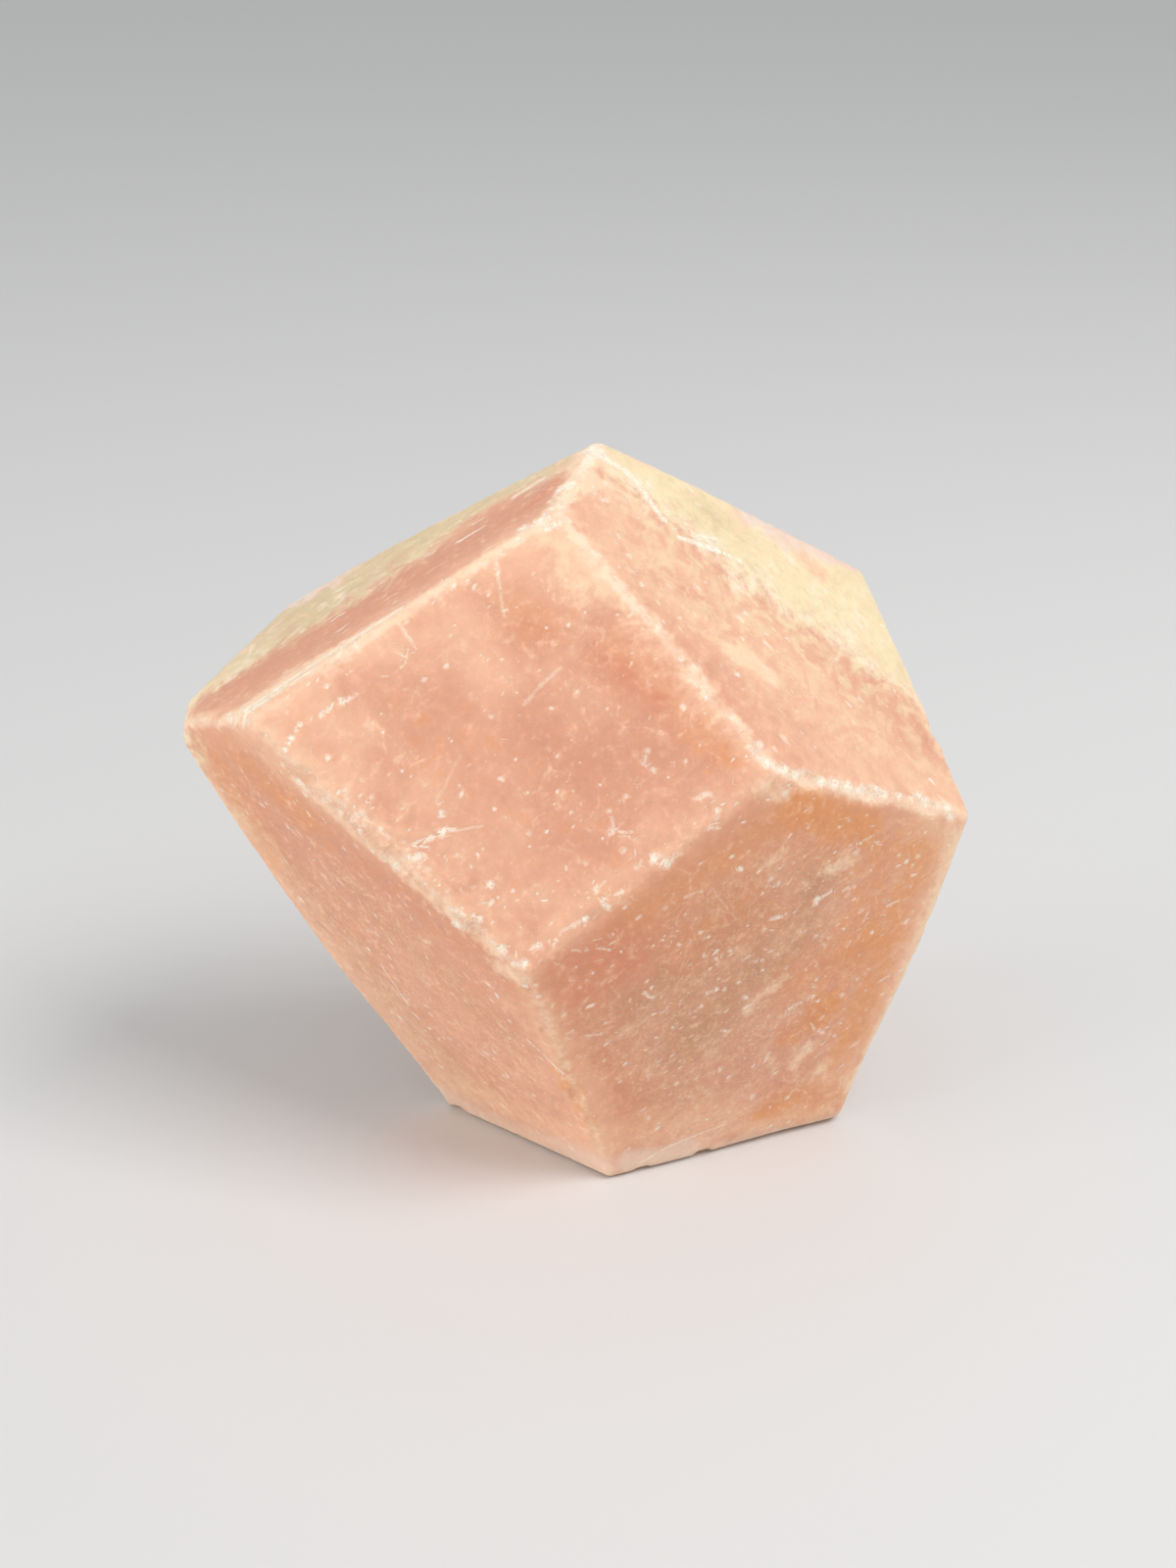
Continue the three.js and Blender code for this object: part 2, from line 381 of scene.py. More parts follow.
# Marks lie where rays from the heart leave the stone, each ray given by its bearing and rise
# (degrees), as the facets are. They are soft lines: how far they reach to each side (mm), their
# strength, and the places they run through.
MARKS = {
    # Deeper pink. On the left slope partly painted shade; along the face's lower left edge a
    # painted glow of light through the stone.
    "rose": (
        # These two on the left slope are partly painted shade, deepened for the dimmer light
        # there.
        (4, 1.3, (-90.1, 83.9), (-79.4, 54.5)), (4.2, 1.3, (-79.4, 54.5), (-81.8, 24.0)),
        (3, 0.1, (80.8, 81.8), (85.5, 58.5)), (2.8, 0.15, (86.1, 48.8), (85.9, 19.5)),
        # The second of these, along the face's lower left edge, is a painted glow of light through
        # the stone.
        (2.6, 0.4, (22.9, 71.6), (39.5, 52.9)), (4.6, 1.2, (-71.7, 16.8), (-16.6, -9.9)),
        (3.6, 0.7, (-80.6, 17.3), (-77.3, 14.3)), (3.5, 0.4, (-5.2, 69.8), (4.8, 65.4)),
        (6, 0.9, (17.5, 62.8), (30.7, 51.0)), (7, 0.8, (-3.1, 40.5), (18.9, 43.2)),
        (5, 0.8, (-20.0, 46.6), (-13.0, 44.3)), (5, 0.5, (-5.3, 23.4), (5.3, 20.8)),
        (4.5, 0.3, (-46.3, 24.3), (-44.9, 39.7)), (4.2, 1.1, (-6.6, -11.4), (20.1, -1.4)),
        (4.6, 1.5, (0.5, -17.4), (10.5, -13.7)), (4, 0.6, (7.2, -27.7), (-2.4, -26.7)),
        (4.2, 0.5, (-33.1, 25.5), (-24.2, 21.6)), (1.6, 0.5, (63.7, 69.0), (66.7, 60.5)),
        (6, 1.2, (-80.5, 14.7), (-75.8, 4.8)), (2.2, 0.8, (-69.8, 59.1), (-118.4, 82.2)),
        (4, 0.6, (-44.8, -3.3), (-27.5, -19.9)),
    ),
    # Iron stains. Along the face's lower left edge they add to a painted glow, and down the right
    # rim they warm a painted highlight.
    "amber": (
        # The first of these, along the face's lower left edge, adds to a painted glow of light
        # through the stone.
        (4, 0.25, (-71.7, 16.8), (-16.6, -9.9)), (6.5, 0.55, (69.1, 3.9), (71.6, -32.2)),
        (2.4, 0.8, (62.3, -34.5), (67.7, -31.1)), (2.4, 0.7, (58.2, -38.9), (61.9, -35.7)),
        (4.5, 0.22, (-48.3, 42.3), (-43.4, 36.4)), (4.5, 0.15, (-34.9, 38.4), (-28.5, 38.1)),
        (1.3, 0.9, (-6.9, -43.2), (-5.7, -40.2)), (1.7, 0.85, (-6.2, -36.9), (0.6, -51.2)),
        (3.2, 1.3, (52.5, 19.4), (65.4, 10.2)), (3, 1.3, (64.6, -32.8), (66.2, -29.5)),
        (1.8, 0.75, (57.2, -53.0), (65.0, -48.7)), (3, 0.4, (35.2, 40.0), (40.3, 33.3)),
        # This one, down the right rim, warms the painted highlight there.
        (3.6, 0.75, (73.9, 1.8), (72.4, -20.6), (71.4, -39.8)),
        (2.8, 0.9, (54.0, 17.4), (66.6, 10.3)), (3, 0.5, (54.8, 16.9), (62.6, 12.4)),
    ),
    # Brownish red.
    "russet": (
        (4.8, 1.3, (-3.4, -13.1), (6.8, -8.6)), (3, 0.6, (-6.4, -20.8), (-3.7, -34.8)),
        (5, 0.35, (26.9, -15.1), (52.1, -5.5)), (5, 1, (17.0, 62.1), (38.1, 43.4)),
        (3.5, 0.35, (-28.9, 64.3), (-18.7, 66.0)), (3.5, 0.4, (3.9, -35.5), (12.0, -50.3)),
        (0.9, 0.8, (-78.8, 80.9), (-117.8, 84.9)),
    ),
    # Warm brownish pink. Along the face's lower right edge a painted glow of light through the
    # stone.
    "honey": (
        # The first of these, along the face's lower right edge, is a painted glow of light through
        # the stone.
        (5.5, 0.85, (47.6, 19.2), (9.6, -0.6)), (5, 0.6, (26.5, -10.5), (42.9, 0.7)),
        (5, 0.75, (58.4, -24.3), (69.5, -16.5)), (6, 0.5, (-8.7, -11.9), (12.4, -54.0)),
        (5, 0.75, (-78.7, 15.3), (-79.3, -1.0)), (4, 0.9, (74.2, -45.6), (62.5, -49.8)),
        (3.5, 0.45, (50.0, 10.0), (74.6, 3.4)), (4.5, 0.7, (-74.4, 18.9), (-64.0, 13.0)),
        (2.6, 0.6, (76.1, 1.7), (74.3, -15.7), (73.5, -35.6)),
        (4, 0.45, (-36.8, 66.8), (-23.4, 64.5)),
    ),
    # Where the seam is darker and greener; on the left slope partly painted shade.
    "olive": (
        # The first and the third of these, on the left slope, are partly painted shade, darker for
        # the dimmer light there.
        (8, 1, (-146.1, 79.4), (-95.3, 32.3)), (3.2, 0.5, (116.9, 68.0), (112.6, 62.8)),
        (5, 1.3, (-96.0, 53.8), (-89.8, 36.6)),
    ),
    # The pale strip beside the foot.
    "lavender": (
        (2, 1.4, (13.3, -59.8), (35.2, -60.6)), (1.7, 0.5, (35.2, -60.6), (63.2, -55.0)),
        (2.2, 0.8, (-17.8, -66.9), (5.9, -59.2)), (2.2, 0.7, (-74.6, -61.7), (-17.8, -66.9)),
        (1.9, 1.3, (20.4, -60.7), (34.8, -59.7)), (1.7, 0.3, (34.8, -59.7), (47.7, -57.1)),
        (2.2, 0.6, (-63.3, -65.9), (-16.4, -64.8)), (2, 0.7, (-16.4, -64.8), (3.8, -59.1)),
    ),
    # Dusky, cloudy pink.
    "grey": (
        (7.5, 0.9, (10.2, -22.7), (42.0, -3.4)), (6.5, 0.9, (29.4, -37.8), (53.1, -13.6)),
        (4.5, 0.8, (59.2, 2.8), (56.7, -6.5)), (6, 0.35, (18.4, -50.4), (47.1, -43.3)),
        (4, 0.35, (-73.6, -0.4), (-56.4, -52.7)), (4, 0.45, (-61.5, -0.2), (-21.7, -34.6)),
        (4, 0.35, (-76.8, 27.8), (-72.5, 81.1)), (4.5, 0.7, (25.5, -32.1), (37.1, -5.2)),
        (3.5, 0.4, (-55.4, -7.4), (-34.0, -20.6)),
    ),
    # Paler pink. Over the right slope partly painted highlight, down the right rim painted
    # highlight, and beside the face's lower left edge a painted glow.
    "peach": (
        # These three pale the right slope, partly as painted highlight of the light on it.
        (2.9, 1.5, (62.0, 54.3), (65.8, 45.7)), (4, 0.9, (57.5, 70.0), (59.7, 57.9)),
        (6.5, 0.8, (68.9, 36.6), (70.6, 19.4)),
        # This line and the next one, down the right rim to (70.0, -47.7), are painted highlight.
        (3.2, 1.3, (75.7, 5.0), (75.0, -9.8), (73.8, -33.7)),
        (3.4, 1.5, (73.8, -33.7), (70.0, -47.7)), (2.4, 1.1, (-10.2, -11.2), (-8.0, -26.9)),
        (2.6, 1.3, (-8.0, -26.9), (-0.4, -46.5)), (2.2, 0.9, (-0.4, -46.5), (6.1, -57.0)),
        (2, 0.7, (37.7, -58.3), (63.4, -51.6)), (4.5, 0.8, (-43.7, 56.2), (-35.7, 53.8)),
        (6, 0.95, (-38.3, 72.3), (12.8, 76.1)), (3.5, 0.8, (-61.4, 45.4), (-46.0, 59.0)),
        (4.5, 0.7, (-41.8, 27.2), (-20.2, 19.8)), (3.8, 0.9, (-66.8, 25.4), (-54.5, 23.1)),
        (3.5, 0.5, (12.4, 20.5), (34.0, 22.5)), (2.4, 0.5, (-81.3, -2.9), (-72.2, -56.3)),
        (3.6, 0.8, (-63.5, -60.3), (3.7, -60.4)), (4.4, 1.1, (-63.9, 31.2), (-57.0, 31.4)),
        # From (61.7, 82.6) on, these pale the right slope and its rim, partly as painted
        # highlight.
        (3.2, 0.7, (-47.8, 26.0), (-46.0, 25.7)), (6, 0.9, (61.7, 82.6), (76.8, 51.4)),
        (6.5, 0.95, (76.8, 51.4), (76.5, 20.9)), (4, 1.1, (76.5, 19.8), (80.1, 10.7)),
        (4.2, 1, (-67.7, -59.5), (0.0, -57.8)), (3.6, 0.9, (1.5, -53.5), (48.3, -54.4)),
        (3.6, 0.9, (-32.1, 72.9), (-5.7, 72.3)), (2.6, 0.6, (63.0, -51.2), (74.4, -43.2)),
        # The first of these, beside the face's lower left edge, is a painted glow of light through
        # the stone.
        (1.8, 1.5, (-66.7, 20.6), (-16.3, -9.9)), (2.5, 0.5, (52.6, -14.2), (54.4, -12.6)),
        (2.4, 0.35, (54.5, 19.3), (75.1, 6.0)), (2.3, 1, (45.9, 23.5), (51.2, 19.9)),
        (1.6, 0.6, (25.0, 21.5), (-8.9, 0.5)),
    ),
    # Pinker places in the seam.
    "flush": (
        (1.8, 0.9, (112.2, 48.1), (109.1, 44.0)),
    ),
    # Whitish clouds; down the right rim a painted highlight.
    "milk": (
        (1.5, 1.2, (59.6, 55.0), (64.1, 51.0), (66.3, 45.3)), (1.6, 0.9, (60.8, 2.8), (63.1, 3.8)),
        (1.5, 0.5, (58.7, 3.1), (60.6, 3.3)), (1.3, 0.6, (46.8, 8.9), (49.2, 9.8)),
        (1.1, 0.8, (51.9, -26.7), (55.0, -24.2)), (1.1, 0.9, (47.2, -32.4), (48.4, -29.9)),
        (1.3, 0.9, (65.2, -38.7), (62.5, -43.1)), (1.5, 0.7, (68.6, -42.3), (68.9, -42.5)),
        (2, 0.7, (-42.2, 11.5), (-40.8, 10.9)), (2.4, 1.1, (-5.3, 89.5), (90.6, 89.2)),
        (2, 0.8, (-11.4, 77.2), (-0.2, 75.8)), (1.8, 0.8, (-0.2, 75.8), (16.0, 71.8)),
        (1.7, 0.7, (16.0, 71.8), (31.0, 64.4)), (1.8, 0.8, (38.2, 53.6), (40.5, 50.2)),
        (1.4, 0.7, (43.6, 42.2), (44.7, 39.2)), (1.4, 0.5, (72.7, 24.9), (75.0, 22.0)),
        (3, 0.3, (57.5, 70.0), (59.7, 57.9)), (2.6, 0.7, (-9.2, 78.3), (6.8, 72.2)),
        (2.4, 1.1, (-175.1, 83.3), (154.5, 83.9)), (1.7, 0.8, (42.9, 26.6), (48.1, 23.8)),
        (1.8, 0.8, (-20.6, -8.1), (-14.6, -9.7)), (1.7, 0.9, (-177.0, 84.6), (-35.9, 78.7)),
        (2, 0.9, (-37.2, 76.8), (-19.5, 76.7)), (1.5, 1.3, (-71.4, 26.0), (-68.8, 39.7)),
        (1.3, 1.2, (-68.8, 39.7), (-62.5, 53.9)),
        # These two, down the right rim to (74.8, -43.9), are painted highlight.
        (1.6, 0.9, (78.5, 3.8), (78.7, -2.5), (77.3, -39.2)),
        (1.6, 0.8, (77.3, -39.2), (74.8, -43.9)), (1.1, 1.1, (-62.5, 53.9), (-42.2, 76.2)),
        (1, 0.5, (-10.4, -15.2), (-4.3, -38.4), (5.3, -57.7)),
        (1.4, 0.75, (-60.9, 20.5), (-20.5, -3.8)), (2, 0.8, (-8.3, 76.6), (-1.3, 75.6)),
        (1, 1.1, (-69.0, 27.1), (-61.0, 53.5)), (2.5, 0.8, (-16.1, 75.1), (-3.4, 72.1)),
        (2, 0.75, (113.2, 86.7), (97.6, 80.9)),
    ),
}

# Small dents and chips: bearing, rise, radius (mm) and strength.
DENTS = (
    # On the face.
    (-53.0, 22.4, 0.27, 0.5), (-52.2, 21.1, 0.32, 0.5), (-49.1, 22.8, 0.3, 0.6),
    (-48.4, 18.7, 0.27, 0.5), (-62.3, 29.5, 0.3, 0.8), (-60.9, 32.2, 0.3, 0.9),
    (-60.6, 33.6, 0.3, 0.9), (-59.8, 35.7, 0.45, 1), (-44.1, 16.3, 0.27, 0.6),
    (-37.3, 17.8, 0.34, 0.9), (-35.9, 11.7, 0.35, 0.4), (-31.3, 7.7, 0.27, 0.5),
    (-31.3, 15.4, 0.27, 0.4), (-15.9, 22.6, 0.28, 0.5), (16.9, 16.5, 0.62, 1),
    (9.2, 19.0, 0.32, 0.7), (1.9, 9.7, 0.35, 0.8), (4.0, 11.6, 0.23, 0.5), (4.7, 5.6, 0.41, 0.95),
    (3.3, 7.0, 0.23, 0.7), (-0.6, 3.0, 0.41, 1), (-3.1, 1.6, 0.27, 0.6), (-7.2, -1.3, 0.27, 0.7),
    (19.0, 42.0, 0.35, 0.5), (17.5, 39.6, 0.35, 0.5), (19.9, 37.4, 0.35, 0.5),
    (28.7, 37.5, 0.27, 0.5), (11.0, 32.2, 0.27, 0.5), (6.3, 28.9, 0.27, 0.6),
    (12.1, 14.7, 0.35, 0.4), (-25.2, 78.8, 0.35, 0.9), (-30.2, 77.5, 0.35, 0.8),
    (-25.5, 78.7, 0.5, 0.95), (44.6, 32.9, 0.4, 0.8), (43.4, 35.5, 0.4, 0.8),
    (-62.1, 27.0, 0.35, 1), (-62.0, 25.0, 0.3, 0.9), (-57.2, 26.5, 0.3, 0.9),
    (-60.2, 23.5, 0.2, 0.7), (-49.8, 18.9, 0.43, 1), (-45.8, 17.5, 0.3, 0.7),
    (-36.8, 23.6, 0.3, 0.9), (-35.2, 19.7, 0.53, 1), (-38.7, 13.7, 0.4, 0.9),
    (-37.8, 14.3, 0.3, 0.8), (-41.0, 12.6, 0.5, 1), (-23.1, 9.8, 0.42, 0.9),
    (-24.0, 2.7, 0.38, 0.9), (-18.5, -3.3, 0.5, 1), (-13.6, -5.8, 0.5, 1),
    (-16.1, -5.9, 0.35, 0.9), (-10.8, -2.5, 0.4, 0.9), (-12.2, -3.0, 0.3, 0.7),
    (-53.1, 19.5, 0.2, 0.6), (-54.9, 21.3, 0.2, 0.6), (37.0, 53.3, 0.4, 0.8),
    (39.9, 46.9, 0.3, 0.6), (-24.6, 79.1, 0.4, 0.9),
    # On the left slope.
    (-73.0, 24.4, 0.66, 1), (-40.0, 78.7, 0.44, 1), (-38.6, 81.3, 0.35, 0.7),
    (-32.7, 84.3, 0.35, 0.8), (-77.6, 85.6, 0.55, 1), (-69.6, 86.7, 0.6, 1),
    (-70.4, 87.8, 0.4, 0.9), (-39.4, 78.5, 0.63, 1), (-34.1, 79.3, 0.35, 0.8),
    (-50.3, 76.5, 0.58, 1), (-44.6, 77.1, 0.3, 0.8), (-39.7, 81.3, 0.4, 0.85),
    (-57.2, 82.8, 0.35, 0.7), (180.0, 84.9, 0.6, 0.8), (-172.2, 86.8, 0.5, 0.8),
    (-133.9, 88.0, 0.4, 0.7), (-38.9, 85.9, 0.4, 0.7), (175.8, 82.3, 0.6, 1),
    (-175.5, 82.7, 0.48, 0.95), (172.6, 83.4, 0.6, 1), (180.0, 84.2, 0.4, 0.8),
    (-34.0, 84.1, 0.35, 0.9), (-45.8, 74.3, 0.3, 0.7),
    # On the right slope.
    (63.2, 86.8, 0.35, 0.8), (119.9, 86.8, 0.27, 0.6), (36.7, 77.9, 0.3, 0.7),
    (22.4, 75.7, 0.23, 0.7), (34.9, 72.6, 0.3, 0.7), (89.6, 62.6, 0.23, 0.7),
    (78.1, 66.8, 0.23, 0.6), (79.9, 56.9, 0.3, 0.7), (46.8, 65.1, 0.23, 0.6),
    (35.9, 57.0, 0.35, 0.8), (46.4, 35.2, 0.44, 0.7), (53.6, 26.6, 0.52, 0.65),
    (59.8, 21.7, 0.49, 1), (68.2, 15.9, 0.53, 0.9), (77.9, 8.6, 0.62, 0.9),
    (55.5, 87.0, 0.35, 0.9), (48.6, 28.8, 0.5, 0.9), (51.0, 26.8, 0.45, 1), (55.0, 25.1, 0.5, 0.9),
    (56.7, 23.5, 0.6, 1), (59.6, 21.6, 0.45, 0.9), (62.2, 20.1, 0.58, 1), (65.0, 18.1, 0.58, 1),
    (67.6, 16.9, 0.6, 1), (69.0, 15.4, 0.5, 1), (71.3, 14.1, 0.45, 0.9), (72.9, 12.6, 0.5, 0.63),
    (75.2, 10.9, 0.63, 1), (76.4, 9.5, 0.45, 0.63), (46.7, 30.5, 0.5, 0.63),
    (40.8, 51.8, 0.35, 0.7), (43.1, 42.4, 0.45, 0.8), (45.3, 31.2, 0.5, 1),
    (31.4, 63.9, 0.35, 0.6), (165.3, 83.3, 0.4, 0.9), (165.1, 82.8, 0.58, 1),
    (168.4, 84.3, 0.35, 0.8), (59.5, 86.8, 0.3, 0.8), (122.7, 87.0, 0.25, 0.6),
    # On the left flank.
    (-62.9, 22.2, 0.35, 0.65), (-57.8, 20.2, 0.27, 0.6), (-54.9, 20.0, 0.4, 0.6),
    (-33.8, 2.0, 0.27, 0.5), (-32.4, -47.4, 0.23, 0.7), (-60.5, 20.5, 0.45, 1),
    (-59.6, 19.6, 0.25, 0.8), (-53.0, 18.1, 0.4, 1), (-50.8, 17.4, 0.3, 0.8),
    (-49.2, 15.9, 0.38, 1), (-42.4, 10.9, 0.58, 1), (-43.9, 12.7, 0.35, 0.8), (-29.3, 0.3, 0.6, 1),
    (-25.3, -0.2, 0.63, 1), (-47.7, 12.1, 0.3, 0.7), (-30.5, 3.9, 0.4, 0.6),
    (-56.0, 19.1, 0.43, 0.75),
    # On the right flank.
    (19.8, 14.9, 0.53, 1), (19.9, 2.3, 0.27, 0.5), (19.6, -7.4, 0.21, 0.9),
    (24.6, -9.8, 0.27, 0.9), (1.3, -12.2, 0.21, 0.9), (48.4, 24.3, 0.35, 0.6),
    (39.6, 9.1, 0.32, 1), (54.2, 23.6, 0.41, 0.8), (66.5, 15.7, 0.61, 1), (77.5, 7.0, 0.44, 0.7),
    (46.9, 2.7, 0.19, 0.7), (65.3, 7.1, 0.23, 0.8), (63.6, 7.3, 0.23, 0.6), (64.7, 5.2, 0.35, 0.6),
    (70.7, -13.7, 0.27, 0.8), (60.3, -13.4, 0.32, 0.5), (62.6, -15.8, 0.3, 0.5),
    (33.0, -9.1, 0.27, 0.8), (39.8, -14.7, 0.27, 0.7), (35.9, -16.4, 0.23, 0.7),
    (48.7, -18.7, 0.23, 0.8), (46.9, -18.9, 0.19, 0.6), (52.5, -17.3, 0.19, 0.7),
    (37.1, -25.5, 0.27, 0.9), (34.6, -26.3, 0.23, 0.7), (45.8, -28.6, 0.32, 0.8),
    (62.3, -24.3, 0.27, 0.7), (59.8, -22.1, 0.23, 0.6), (55.0, -21.3, 0.27, 0.5),
    (68.4, -27.6, 0.35, 0.6), (70.3, -23.9, 0.27, 0.5), (66.8, -35.8, 0.34, 0.7),
    (69.3, -36.1, 0.23, 0.8), (63.3, -49.0, 0.32, 0.8), (64.8, -52.2, 0.28, 0.9),
    (48.3, -53.7, 0.25, 0.7), (41.5, -37.0, 0.23, 0.8), (-1.7, -15.1, 0.23, 0.6),
    (24.8, -34.3, 0.19, 0.9), (3.5, -30.3, 0.23, 0.9), (19.8, -35.9, 0.23, 0.7),
    (-0.4, -34.5, 0.19, 0.6), (18.3, -29.4, 0.23, 0.9), (60.8, 12.5, 0.23, 0.7),
    (65.4, 13.0, 0.19, 0.7), (66.8, 8.0, 0.27, 0.7), (74.6, 1.1, 0.3, 0.56),
    (71.9, 2.4, 0.27, 0.42),
)

# Scratches and cracks: half their width (mm), their strength, and the places they run through.
SCRATCHES = (
    # On the face.
    (0.18, 0.5, (-59.2, 36.8), (-58.8, 38.1)), (0.27, 0.8, (-50.5, 18.3), (-49.4, 19.6)),
    (0.23, 0.8, (-35.5, 19.6), (-39.8, 16.1)), (0.3, 0.7, (-39.6, 12.4), (-37.4, 14.4)),
    (0.27, 0.6, (-29.1, 4.2), (-27.4, 3.2)), (0.18, 0.5, (8.3, 23.6), (11.7, 23.3)),
    (0.18, 0.5, (-5.5, 0.8), (-2.3, 2.5)),
    (0.2, 0.32, (-23.0, 51.5), (-18.1, 56.4), (-11.5, 60.1)),
    (0.19, 0.4, (-48.6, 69.8), (-37.5, 64.1)), (0.14, 0.4, (-34.9, 19.7), (-27.3, 22.8)),
    (0.18, 0.2, (-38.4, 25.2), (-36.6, 36.6)), (0.3, 0.9, (-39.0, 16.5), (-35.2, 19.7)),
    (0.2, 0.5, (-59.7, 51.6), (-57.2, 50.8), (-54.8, 50.3)),
    (0.13, 0.6, (-58.3, 47.1), (-55.7, 48.3), (-54.5, 47.5), (-55.7, 45.1)),
    # On the left slope.
    (0.27, 0.9, (-69.1, 26.3), (-69.3, 27.3), (-68.4, 29.3)),
    (0.23, 0.8, (-68.4, 29.3), (-68.1, 32.1)), (0.35, 0.9, (-175.4, 85.3), (-158.0, 86.7)),
    (0.35, 0.95, (-67.4, 85.0), (-75.6, 86.5)), (0.32, 0.9, (-75.6, 86.5), (-64.1, 87.6)),
    (0.4, 0.95, (174.5, 84.0), (153.7, 83.4)),
    (0.32, 0.8, (-70.5, 27.0), (-69.5, 33.0), (-68.4, 39.7), (-66.3, 46.6), (-63.6, 53.8)),
    (0.26, 0.7, (-68.5, 43.3), (-64.8, 41.6)), (0.22, 0.6, (-66.2, 44.9), (-62.3, 44.0)),
    (0.3, 0.6, (-109.2, 77.1), (-128.7, 81.2)),
    # On the right slope.
    (0.31, 0.9, (93.6, 73.8), (97.0, 69.8)), (0.4, 1.2, (97.0, 69.8), (99.3, 65.6)),
    (0.29, 0.7, (102.0, 69.8), (104.7, 66.1)), (0.29, 0.9, (99.9, 63.5), (100.0, 60.9)),
    (0.4, 0.95, (153.7, 83.4), (139.8, 81.7), (129.1, 80.5), (120.1, 79.7), (110.8, 79.0),
     (105.2, 78.0), (100.5, 76.8)),
    # On the left flank.
    (0.18, 0.5, (-45.9, 10.6), (-43.6, 14.2)), (0.23, 0.9, (-68.6, 24.9), (-69.1, 26.3)),
    (0.39, 1, (-25.5, 0.0), (-24.7, -1.5)), (0.18, 0.8, (-15.9, -31.5), (-11.7, -33.7)),
    (0.19, 0.8, (-11.7, -33.7), (-9.1, -35.6)), (0.19, 0.9, (-9.1, -35.6), (-5.6, -38.4)),
    (0.18, 0.6, (-63.7, -25.0), (-61.9, -37.6)), (0.23, 0.6, (-77.9, -50.6), (-74.4, -62.7)),
    (0.25, 0.9, (-50.8, 17.4), (-49.2, 19.9)),
    # On the right flank.
    (0.18, 0.5, (-3.5, -4.2), (-1.7, -4.9)), (0.18, 0.7, (2.4, -5.3), (5.3, -6.5)),
    (0.14, 0.25, (25.3, 2.0), (23.5, -0.6), (23.3, -3.5)), (0.18, 0.7, (66.5, 8.2), (67.2, 8.1)),
    (0.14, 0.5, (68.1, 6.0), (69.5, 5.3)), (0.18, 0.5, (68.8, -11.0), (69.3, -8.8)),
    (0.18, 0.5, (73.9, -24.2), (75.2, -23.0)), (0.18, 0.5, (71.8, -8.2), (73.6, -7.3)),
    (0.18, 0.6, (63.7, -34.3), (65.1, -35.7)), (0.18, 0.7, (54.9, -42.9), (55.8, -41.6)),
    (0.14, 0.5, (18.3, -29.4), (22.3, -29.0)), (0.18, 0.6, (-5.0, -26.6), (-3.4, -26.5)),
    (0.14, 0.5, (-4.0, -29.3), (-1.8, -28.8), (1.7, -29.9)),
    (0.18, 0.6, (17.2, -60.5), (21.6, -60.2), (26.5, -59.3)),
    (0.14, 0.5, (14.8, -56.6), (19.1, -57.0)), (0.14, 0.25, (32.0, 6.3), (40.1, -5.4)),
    (0.18, 0.6, (24.5, -59.6), (34.4, -58.4), (47.9, -55.6)),
)
# Where a scratch skipped and left a row of small dents, given as a scratch is.
SKIPS = (
    (0.27, 0.7, (20.0, 16.6), (22.9, 16.7)), (0.27, 0.7, (6.8, 26.3), (6.0, 22.7)),
    (0.27, 0.8, (5.9, 8.8), (8.2, 8.7)), (0.34, 0.8, (29.2, 28.2), (32.0, 29.1)),
    (0.34, 0.95, (33.2, 25.4), (32.8, 23.3)), (0.44, 1, (47.5, 29.5), (50.2, 27.3)),
    (0.44, 1, (61.7, 20.2), (64.7, 17.8)), (0.53, 1, (74.4, 12.4), (76.0, 10.1)),
    (0.27, 0.6, (25.8, 4.4), (29.6, 5.5)), (0.25, 0.7, (48.7, 1.9), (50.1, 2.9)),
    (0.3, 0.9, (49.7, -7.2), (52.4, -6.2)), (0.34, 1, (59.0, -4.6), (61.2, -2.1)),
    (0.23, 0.6, (64.1, -2.9), (65.8, -2.9)), (0.23, 0.7, (66.6, -16.8), (67.3, -15.1)),
    (0.28, 0.6, (62.2, -28.4), (59.2, -31.1)), (0.27, 0.6, (59.2, -31.1), (56.1, -33.3)),
    (0.23, 0.6, (63.3, -49.0), (64.9, -46.1)), (0.23, 0.5, (64.9, -46.1), (66.8, -43.6)),
    (0.27, 0.8, (15.4, -22.8), (17.4, -24.3)), (0.27, 0.8, (28.2, 21.5), (33.5, 21.0)),
)
SKIP_SEED = 3
# The dents of such a row are this many of its half widths apart, lie within this many degrees of
# it, and are these shares of its half width and strength.
SKIP_PITCH = 1.5
SKIP_STRAY = 0.5
SKIP_SIZES = (0.5, 1.15)
SKIP_STRENGTHS = (0.6, 1.0)
# How far (mm) the rows lie from the heart.
SKIP_REACH = 26.0


def stretches(lines):
    """The straight stretches of marks that may have bends: from, to, reach and strength."""
    return [
        (start, end, reach, strength)
        for reach, strength, *places in lines
        for start, end in zip(places, places[1:])
    ]


def skip_dents():
    """The small dents of all the rows, as marks of no length."""
    draw = random.Random(SKIP_SEED)
    dents = []
    for start, end, width, strength in stretches(SKIPS):
        turn = np.dot(direction_of(*start), direction_of(*end))
        length = SKIP_REACH * math.acos(min(turn, 1.0))
        count = max(2, round(length / (SKIP_PITCH * width)))
        for number in range(count + 1):
            place = tuple(
                low + (high - low) * number / count + draw.uniform(-SKIP_STRAY, SKIP_STRAY)
                for low, high in zip(start, end)
            )
            size = width * draw.uniform(*SKIP_SIZES)
            dents.append((place, place, size, strength * draw.uniform(*SKIP_STRENGTHS)))
    return dents


STRUCK = [((bearing, rise), (bearing, rise), *rest) for bearing, rise, *rest in DENTS]
STRUCK += [*stretches(SCRATCHES), *skip_dents()]


